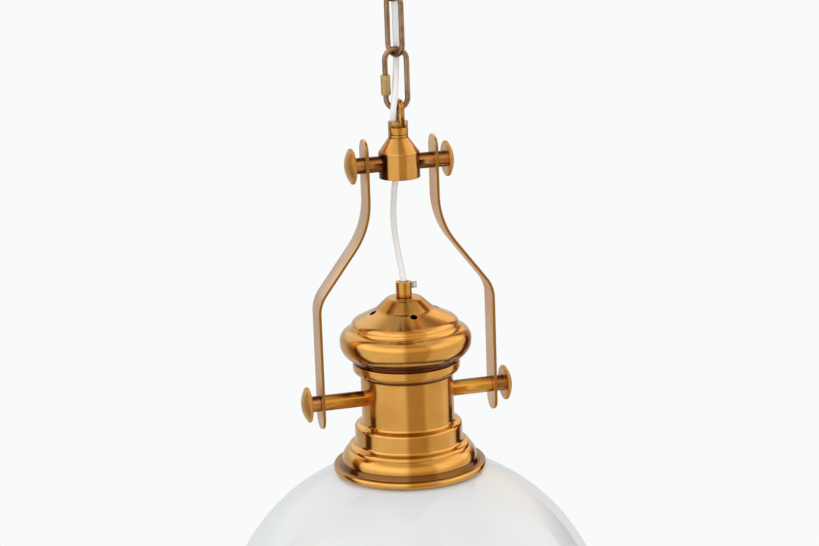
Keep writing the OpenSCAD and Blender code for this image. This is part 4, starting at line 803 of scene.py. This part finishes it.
def body_side(wall):
    """The body's outline from the rim up, moved inwards by wall."""
    return np.vstack([
        [[bead_mid - 1.5 - wall, 0.5], [FLARE_FOOT_D / 2 + 1.2 - wall, FLARE_LIFT - 1.5]],
        arc(flare_mid, FLARE_LIFT, FLARE_R - wall, 2, math.degrees(flare_end), 20),
        arc(FLARE_TOP_D / 2 - LOWER_SHOULDER_R, flare_top, LOWER_SHOULDER_R - wall, 0, 90, 10),
        arc(LOWER_BARREL_D / 2 + LEDGE_R, lower_barrel + LEDGE_R, LEDGE_R + wall, 270, 180, 8),
        arc(LOWER_BARREL_D / 2 - UPPER_SHOULDER_R, upper_shoulder, UPPER_SHOULDER_R - wall, 0, 86, 12),
        arc(BARREL_D / 2 + LEDGE_R, barrel_foot + LEDGE_R, LEDGE_R + wall, 266, 180, 8),
        [[BARREL_D / 2 - wall, body_top - wall]]])


ring_low = body_top + 1.3 - 8.4
# Painted shade: a dark band on the barrel just under the neck ring, and one in the crease between the flare and the
# rolled rim.
gallery_brass = brushed_brass("antique brass, gallery", "Z", rings=800.0,
                              grooves=[(RIM + ring_low - 1.0, 2.0, 0.9), (RIM + 4.4, 2.7, 0.8)])
body_profile = np.vstack([body_side(0), [[BARREL_D / 2 - 5, body_top], [BARREL_D / 2 - 5, body_top - BODY_WALL]],
                          body_side(BODY_WALL)[::-1]])
gallery = turned("gallery_spinning", eased(body_profile, 0.35), gallery_brass, foot=RIM, columns=200)
bead = turned("rolled_rim", arc(bead_mid, 0, bead_r, 0, 348, 29), gallery_brass, foot=RIM, columns=200)
stands_for(gallery, "lamp", "lacquered_brass", "lamp_body")
stands_for(bead, "lamp", "lacquered_brass", "lamp_body")

CAP_D = 99
CAP_H = 48.8
CAP_WALL = 1.2
ROLL_R = 13
ROLL_TOP_R = 9
ROLL_BAND = 1.5
SHOULDER_D = 81.2
SHOULDER_R = 6.2
WAIST_R = 5
COVE_R = 10
CROWN_D = 32.6
CROWN_R = 6
CROWN_RISE = 21.9
SHOULDER_SLOPE = 26
CROWN_SLOPE = 44
VENT_D = 5.5
VENT_CIRCLE_R = 24.5
VENTS = 4
COVE_X = CROWN_D / 2 + 1.9 + COVE_R
COVE_Z = CAP_H - 10.9 + COVE_R
cap_seat = body_top + 1.3

ring_top = BARREL_D / 2 + 5.5
neck_profile = np.vstack([arc(BARREL_D / 2 + 2.45, cap_seat - 10.6, 2.4, 180, 110, 8),
                          arc(ring_top - 4.4, cap_seat - 4.3, 4.4, -72, 0, 12),
                          [[ring_top, cap_seat - 0.4], [ring_top - 0.4, cap_seat], [BARREL_D / 2 - 4, cap_seat],
                           [BARREL_D / 2 - 4, body_top + 0.05], [BARREL_D / 2 + 0.05, body_top + 0.05]]])
neck = turned("neck_ring_turning", eased(neck_profile, 0.3), gallery_brass, foot=RIM, columns=200)
stands_for(neck, "lamp", "lacquered_brass", "neck_ring")


def cap_side(wall):
    """The cap's outline from its foot to its crown, moved inwards by wall."""
    shoulder_z = CAP_H - CROWN_RISE
    return np.vstack([
        arc(CAP_D / 2 - ROLL_R, ROLL_R + 2, ROLL_R - wall, -80, 0, 24),
        arc(CAP_D / 2 - ROLL_TOP_R, ROLL_R + 2 + ROLL_BAND, ROLL_TOP_R - wall, 0, 60, 18),
        arc(SHOULDER_D / 2 + WAIST_R, shoulder_z + 2.7, WAIST_R + wall, 252, 197, 14),
        arc(SHOULDER_D / 2 - SHOULDER_R, shoulder_z, SHOULDER_R - wall, 14, 90 - SHOULDER_SLOPE, 14),
        arc(COVE_X, COVE_Z, COVE_R + wall, 270 - SHOULDER_SLOPE, 270 - CROWN_SLOPE, 8),
        arc(CROWN_D / 2 - CROWN_R, CAP_H - CROWN_R, CROWN_R - wall, 90 - CROWN_SLOPE, 90, 14)])


# Painted shade: a deep band on the underside of the roll, over the gap above the neck ring, and a faint one on the
# crown round the nipple.
cap_brass = brushed_brass("antique brass, cap", "Z", rings=800.0, grooves=[(RIM + cap_seat + 3.2, 5.6, 0.95),
                                                                            (RIM + cap_seat + CAP_H - 4, 6, 0.3)])
foot_r = cap_side(0)[0][0]
cap_profile = np.vstack([[[foot_r - 5, 0], [foot_r, 0]], cap_side(0), [[5.2, CAP_H], [5.2, CAP_H - CAP_WALL]],
                         cap_side(CAP_WALL)[::-1], [[foot_r - CAP_WALL, CAP_WALL], [foot_r - 5, CAP_WALL]]])
cap = turned("vented_cap", eased(cap_profile, 0.25), cap_brass, foot=RIM + cap_seat + 0.05, columns=200)


def pierced(piece, centres, axes, r, reach):
    """Cuts a round hole of radius r about each axis with a boolean: its punch is the circle
    r * (cos a * side + sin a * up), carried along the axis by reach both ways."""
    a = np.linspace(0, 2 * np.pi, 48, endpoint=False)[None, :, None]
    for centre, axis in zip(centres, axes):
        side = np.cross(axis, [0, 0, 1.0])
        side /= np.linalg.norm(side)
        ends = centre + reach * np.array([-1, 1])[:, None, None] * axis
        punch = surface("punch", ends + r * (np.cos(a) * side + np.sin(a) * np.cross(side, axis)),
                        piece.data.materials[0], capped=True)
        knife = piece.modifiers.new("hole", "BOOLEAN")
        knife.operation, knife.solver, knife.object = "DIFFERENCE", "EXACT", punch
        with bpy.context.temp_override(object=piece, active_object=piece):
            bpy.ops.object.modifier_apply(modifier="hole")
        bpy.data.objects.remove(punch, do_unlink=True)
    piece.data.shade_smooth()
    piece.data.set_sharp_from_angle(angle=math.radians(35))


vent_lean = math.asin((COVE_X - VENT_CIRCLE_R) / COVE_R)
vent_z = RIM + cap_seat + 0.05 + COVE_Z - COVE_R * math.cos(vent_lean)
turn = np.radians(360 / VENTS * np.arange(VENTS))
round_z = np.stack([np.cos(turn), np.sin(turn), 0 * turn], axis=1)
pierced(cap, round_z * VENT_CIRCLE_R + [0, 0, vent_z], round_z * math.sin(vent_lean) + [0, 0, math.cos(vent_lean)],
        VENT_D / 2, VENT_D / 2 + CAP_WALL)
stands_for(cap, "lamp", "lacquered_brass", "vent_cap")

# Cord grip: a plain brass nipple on the tube, with a clear nylon screw that pinches the cable.
grip_foot = cap_seat + CAP_H + 0.1
grip_profile = [[5.05, grip_foot], [6, grip_foot], [6, grip_foot + 11.5], [3.3, grip_foot + 11.5], [3.3, grip_foot + 5.55],
                [5.05, grip_foot + 5.55]]
grip = turned("cord_grip_nipple", eased(grip_profile, 0.4), cap_brass, foot=RIM, columns=96)
stands_for(grip, "lamp", "lacquered_brass", "cord_grip")

# Natural nylon: a milky, waxy translucent white.
natural_nylon, tree, nylon = shader("natural nylon")
place = add(tree, "ShaderNodeTexCoord")
wax = add(tree, "ShaderNodeTexNoise", Vector=place.outputs["Object"], Scale=400.0)
tone = add(tree, "ShaderNodeValToRGB", Fac=wax.outputs["Fac"])
tone.color_ramp.elements[0].color = linear("d9dbd6")
tone.color_ramp.elements[1].color = linear("eef0ec")
tree.links.new(tone.outputs["Color"], nylon.inputs["Base Color"])
nylon.inputs["Roughness"].default_value = 0.3
nylon.inputs["Transmission Weight"].default_value = 0.35
stands_for(smooth_copy("nylon_grip_screw", "cord_grip_screw", natural_nylon), "lamp", "clear_nylon", "cord_grip_screw")


# Lampholder, bulb and bridge
# A steel-cased porcelain lampholder hangs on the threaded tube inside the body, and a frosted
# bulb is screwed into it from below. They show only through the open foot of the dome.
dress(zinc_steel, "bridge_plate", "lamp_tube", "tube_nut_upper", "tube_nut_lower", "pin_nut_left", "pin_nut_right",
      "holder_cap", "holder_screws", "bulb_base")
dress(glazed_porcelain, "holder_insert", "bulb_contact")
dress(cast_brass, "holder_thread", "centre_contact")
stands_for(smooth_copy("lampholder_shell", "holder_shell", zinc_steel), "lamp", "zinc_steel", "holder_shell")
stands_for(smooth_copy("shade_clamping_ring", "shade_ring", zinc_steel), "shade_ring", "zinc_steel", "shade_ring")

# Frosted bulb glass: white, soft and a little translucent.
frosted_bulb, tree, frost = shader("frosted bulb glass")
place = add(tree, "ShaderNodeTexCoord")
etch = add(tree, "ShaderNodeTexNoise", Vector=place.outputs["Object"], Scale=700.0, Detail=3.0)
tone = add(tree, "ShaderNodeValToRGB", Fac=etch.outputs["Fac"])
tone.color_ramp.elements[0].color = linear("e9e9e5")
tone.color_ramp.elements[1].color = linear("f7f7f4")
tree.links.new(tone.outputs["Color"], frost.inputs["Base Color"])
rough = add(tree, "ShaderNodeMapRange", Value=etch.outputs["Fac"], To_Min=0.3, To_Max=0.5)
tree.links.new(rough.outputs["Result"], frost.inputs["Roughness"])
stands_for(smooth_copy("frosted_bulb", "bulb_glass", frosted_bulb), "bulb", "bulb_glass", "bulb_glass")

# Grey rubber: matt seals under the rim and round the lampholder.
grey_rubber, tree, rubber = shader("silicone rubber seal")
place = add(tree, "ShaderNodeTexCoord")
chalk = add(tree, "ShaderNodeTexNoise", Vector=place.outputs["Object"], Scale=500.0, Detail=4.0)
tone = add(tree, "ShaderNodeValToRGB", Fac=chalk.outputs["Fac"])
tone.color_ramp.elements[0].color = linear("c3c5c3")
tone.color_ramp.elements[1].color = linear("d9dad8")
tree.links.new(tone.outputs["Color"], rubber.inputs["Base Color"])
rubber.inputs["Roughness"].default_value = 0.62
stands_for(smooth_copy("rim_seal", "rim_gasket", grey_rubber), "lamp", "grey_rubber", "rim_gasket")
stands_for(smooth_copy("shade_seal", "shade_gasket", grey_rubber), "lamp", "grey_rubber", "shade_gasket")


# Glass dome
# A mouth-blown opal dome: a white layer under a clear, glossy one. It is held by its neck on
# the lampholder, and its shoulder rests against the rolled rim through a rubber ring.
GLASS_R = 150
GLASS_T = 3.2
SKIRT_H = 15
NECK_HOLE_R = 21
glass_mid = -math.sqrt((GLASS_R + bead_r + 0.3) ** 2 - bead_mid ** 2)
lean_out = math.degrees(math.acos(NECK_HOLE_R / GLASS_R))
lean_in = math.degrees(math.acos(NECK_HOLE_R / (GLASS_R - GLASS_T)))
edge_r = GLASS_T / 2

opal_glass, tree, opal = shader("opal glass, blown and flashed")
place = add(tree, "ShaderNodeTexCoord")
swirl = add(tree, "ShaderNodeTexNoise", Vector=place.outputs["Object"], Scale=9.0, Detail=3.0)
tone = add(tree, "ShaderNodeValToRGB", Fac=swirl.outputs["Fac"])
tone.color_ramp.elements[0].color = linear("e4e7e9")
tone.color_ramp.elements[1].color = linear("eaeced")
tree.links.new(tone.outputs["Color"], opal.inputs["Base Color"])
rough = add(tree, "ShaderNodeMapRange", Value=swirl.outputs["Fac"], To_Min=0.04, To_Max=0.1)
tree.links.new(rough.outputs["Result"], opal.inputs["Roughness"])
wavy = add(tree, "ShaderNodeBump", Height=swirl.outputs["Fac"], Strength=0.05, Distance=0.002)
tree.links.new(wavy.outputs["Normal"], opal.inputs["Normal"])
opal.inputs["IOR"].default_value = 1.5
opal.inputs["Subsurface Weight"].default_value = 0.25
opal.inputs["Subsurface Radius"].default_value = (0.012, 0.012, 0.012)
opal.inputs["Subsurface Scale"].default_value = 0.5
opal.inputs["Coat Weight"].default_value = 0.2
opal.inputs["Coat Roughness"].default_value = 0.03

dome_profile = np.vstack([arc(0, glass_mid, GLASS_R, lean_out, 0, 60),
                          arc(GLASS_R - edge_r, glass_mid - SKIRT_H + edge_r, edge_r, 0, -180, 12),
                          arc(0, glass_mid, GLASS_R - GLASS_T, 0, lean_in, 60)])
dome = turned("opal_dome", eased(dome_profile, 0.6), opal_glass, foot=RIM, columns=256)
stands_for(dome, "lamp", "opal_glass", "glass_shade")


# Room
# A white studio: a pale wall behind, a pale floor far below, a dark gap on each side of the
# wall, and a bright window on the camera's left, which the brass mirrors as upright bands.
FLOOR_Z = -1.5
floor_mesh = bpy.data.meshes.new("floor")
ring_points = arc(0, 0, 2.0, 0, 357, 119)
floor_mesh.from_pydata(np.column_stack([ring_points, np.full(120, FLOOR_Z)]).tolist(), [], [list(range(120))])
floor = bpy.data.objects.new("floor", floor_mesh)
scene.collection.objects.link(floor)
pale_floor, tree, paint = shader("pale floor")
paint.inputs["Base Color"].default_value = linear("e9eaea")
paint.inputs["Roughness"].default_value = 0.7
floor_mesh.materials.append(pale_floor)
floor.visible_glossy = False

world = bpy.data.worlds.new("studio")
scene.world = world
world.use_nodes = True
tree = world.node_tree
tree.nodes.clear()
way = add(tree, "ShaderNodeTexCoord")
to_right = add(tree, "ShaderNodeVectorMath", {"operation": "DOT_PRODUCT"}, i0=way.outputs["Generated"], i1=tuple(level))
to_camera = add(tree, "ShaderNodeVectorMath", {"operation": "DOT_PRODUCT"}, i0=way.outputs["Generated"], i1=tuple(-HEADING))
azimuth = add(tree, "ShaderNodeMath", {"operation": "ARCTAN2"}, i0=to_right.outputs["Value"], i1=to_camera.outputs["Value"])
steepness = add(tree, "ShaderNodeSeparateXYZ", Vector=way.outputs["Generated"])
draw_in = add(tree, "ShaderNodeMath", {"operation": "MULTIPLY_ADD"}, i0=steepness.outputs["Z"], i1=-0.2, i2=0.953)
leaning = add(tree, "ShaderNodeMath", {"operation": "MULTIPLY"}, i0=azimuth.outputs["Value"], i1=draw_in.outputs["Value"])
share = add(tree, "ShaderNodeMapRange", Value=leaning.outputs["Value"], From_Min=-math.pi, From_Max=math.pi)
bands = add(tree, "ShaderNodeValToRGB", Fac=share.outputs["Result"])
WALL, WARM = "d8dadb", "c8b48c"
stops = [(-180, "e0e2e3"), (-150, WALL), (-108, "cfd0d0"), (-86, "f4efe6"), (-66, "ffffff"), (-56, "fffaf2"), (-7, "fffaf2"),
         (2, WARM), (38, WARM), (46, "f0e8d8"), (92, "f4ecdc"), (103, "ffffff"), (119, "f2ead8"), (145, WALL), (165, "d6d8d9"), (180, "e0e2e3")]
ramp = bands.color_ramp
while len(ramp.elements) < len(stops):
    ramp.elements.new(0.5)
for element, (angle_at, tint) in zip(ramp.elements, stops):
    element.position, element.color = angle_at / 360 + 0.5, linear(tint)
gaps = add(tree, "ShaderNodeValToRGB", Fac=share.outputs["Result"])
gap_stops = [(-180, 0), (-108, 0), (-105, 1), (-88, 1), (-85, 0), (118, 0), (121, 1), (141, 1), (145, 0), (180, 0)]
while len(gaps.color_ramp.elements) < len(gap_stops):
    gaps.color_ramp.elements.new(0.5)
for element, (angle_at, shade) in zip(gaps.color_ramp.elements, gap_stops):
    element.position, element.color = angle_at / 360 + 0.5, (shade, shade, shade, 1)
lift = add(tree, "ShaderNodeMapRange", Value=steepness.outputs["Z"], From_Min=-1.0, From_Max=1.0)
gap_colour = add(tree, "ShaderNodeValToRGB", Fac=lift.outputs["Result"])
gap_tints = [(-0.2, "4e2010"), (0.1, "5c2a14"), (0.4, "94653a"), (0.6, "cfae80"), (0.9, "ecd8b6")]
while len(gap_colour.color_ramp.elements) < len(gap_tints):
    gap_colour.color_ramp.elements.new(0.5)
for element, (rise, tint) in zip(gap_colour.color_ramp.elements, gap_tints):
    element.position, element.color = 0.5 + rise / 2, linear(tint)
walls = add(tree, "ShaderNodeMix", {"data_type": "RGBA"}, i0=gaps.outputs["Color"], i6=bands.outputs["Color"],
            i7=gap_colour.outputs["Color"])
back_turn, back_rise = math.radians(160), math.radians(34)
back = (math.cos(back_rise) * (math.sin(back_turn) * level - math.cos(back_turn) * HEADING)
        + math.sin(back_rise) * np.array([0, 0, 1.0]))
near_back = add(tree, "ShaderNodeVectorMath", {"operation": "DOT_PRODUCT"}, i0=way.outputs["Generated"], i1=tuple(back))
shelf = add(tree, "ShaderNodeMapRange", {"interpolation_type": "SMOOTHSTEP"}, Value=near_back.outputs["Value"],
            From_Min=math.cos(math.radians(34)), From_Max=math.cos(math.radians(18)))
upper = add(tree, "ShaderNodeMix", {"data_type": "RGBA"}, i0=shelf.outputs["Result"], i6=walls.outputs[2], i7=linear("ecd6b4"))
below = add(tree, "ShaderNodeMapRange", {"interpolation_type": "SMOOTHSTEP"}, Value=steepness.outputs["Z"], From_Min=-0.68, From_Max=-0.82)
lower = add(tree, "ShaderNodeMix", {"data_type": "RGBA"}, i0=below.outputs["Result"], i6=upper.outputs[2], i7=linear("4a2616"))
rise = add(tree, "ShaderNodeMapRange", {"interpolation_type": "SMOOTHSTEP"}, Value=steepness.outputs["Z"],
           From_Min=0.12, From_Max=0.42, To_Min=1.03, To_Max=1.72)
fall = add(tree, "ShaderNodeMapRange", {"interpolation_type": "SMOOTHSTEP"}, Value=steepness.outputs["Z"],
           From_Min=0.66, From_Max=0.88, To_Min=1.0, To_Max=0.56)
softbox = add(tree, "ShaderNodeMath", {"operation": "MULTIPLY"}, i0=rise.outputs["Result"], i1=fall.outputs["Result"])
mirrored = add(tree, "ShaderNodeVectorMath", {"operation": "SCALE"}, i0=lower.outputs[2], Scale=softbox.outputs["Value"])
path = add(tree, "ShaderNodeLightPath")
seen = add(tree, "ShaderNodeMath", {"operation": "MAXIMUM"}, i0=path.outputs["Is Camera Ray"], i1=path.outputs["Is Transmission Ray"])
shown = add(tree, "ShaderNodeMix", {"data_type": "RGBA"}, i0=path.outputs["Is Glossy Ray"], i6=(0.86, 0.86, 0.86, 1), i7=mirrored.outputs["Vector"])
picture = add(tree, "ShaderNodeMix", {"data_type": "RGBA"}, i0=seen.outputs["Value"], i6=shown.outputs[2], i7=linear("f9fafa"))
studio = add(tree, "ShaderNodeBackground", Color=picture.outputs[2], Strength=1.0)
out_node = add(tree, "ShaderNodeOutputWorld", Surface=studio.outputs["Background"])

for name, where, size, watts in (("window_left", (-1.6, -1.4, 0.5), 1.2, 6.0), ("ceiling_glow", (0.2, -0.4, 1.2), 1.6, 3.0)):
    lamp_data = bpy.data.lights.new(name, "AREA")
    lamp_data.energy, lamp_data.size = watts, size
    lamp = bpy.data.objects.new(name, lamp_data)
    scene.collection.objects.link(lamp)
    aim = np.array([0, 0, -0.4]) - np.array(where)
    aim /= np.linalg.norm(aim)
    across = np.cross(aim, [0, 0, 1.0])
    across /= np.linalg.norm(across)
    pose = np.eye(4)
    pose[:3, 0], pose[:3, 1], pose[:3, 2], pose[:3, 3] = across, np.cross(across, aim), -aim, where
    lamp.matrix_world = Matrix(pose.tolist())
    lamp.visible_glossy = False

scene.view_settings.view_transform = "Standard"
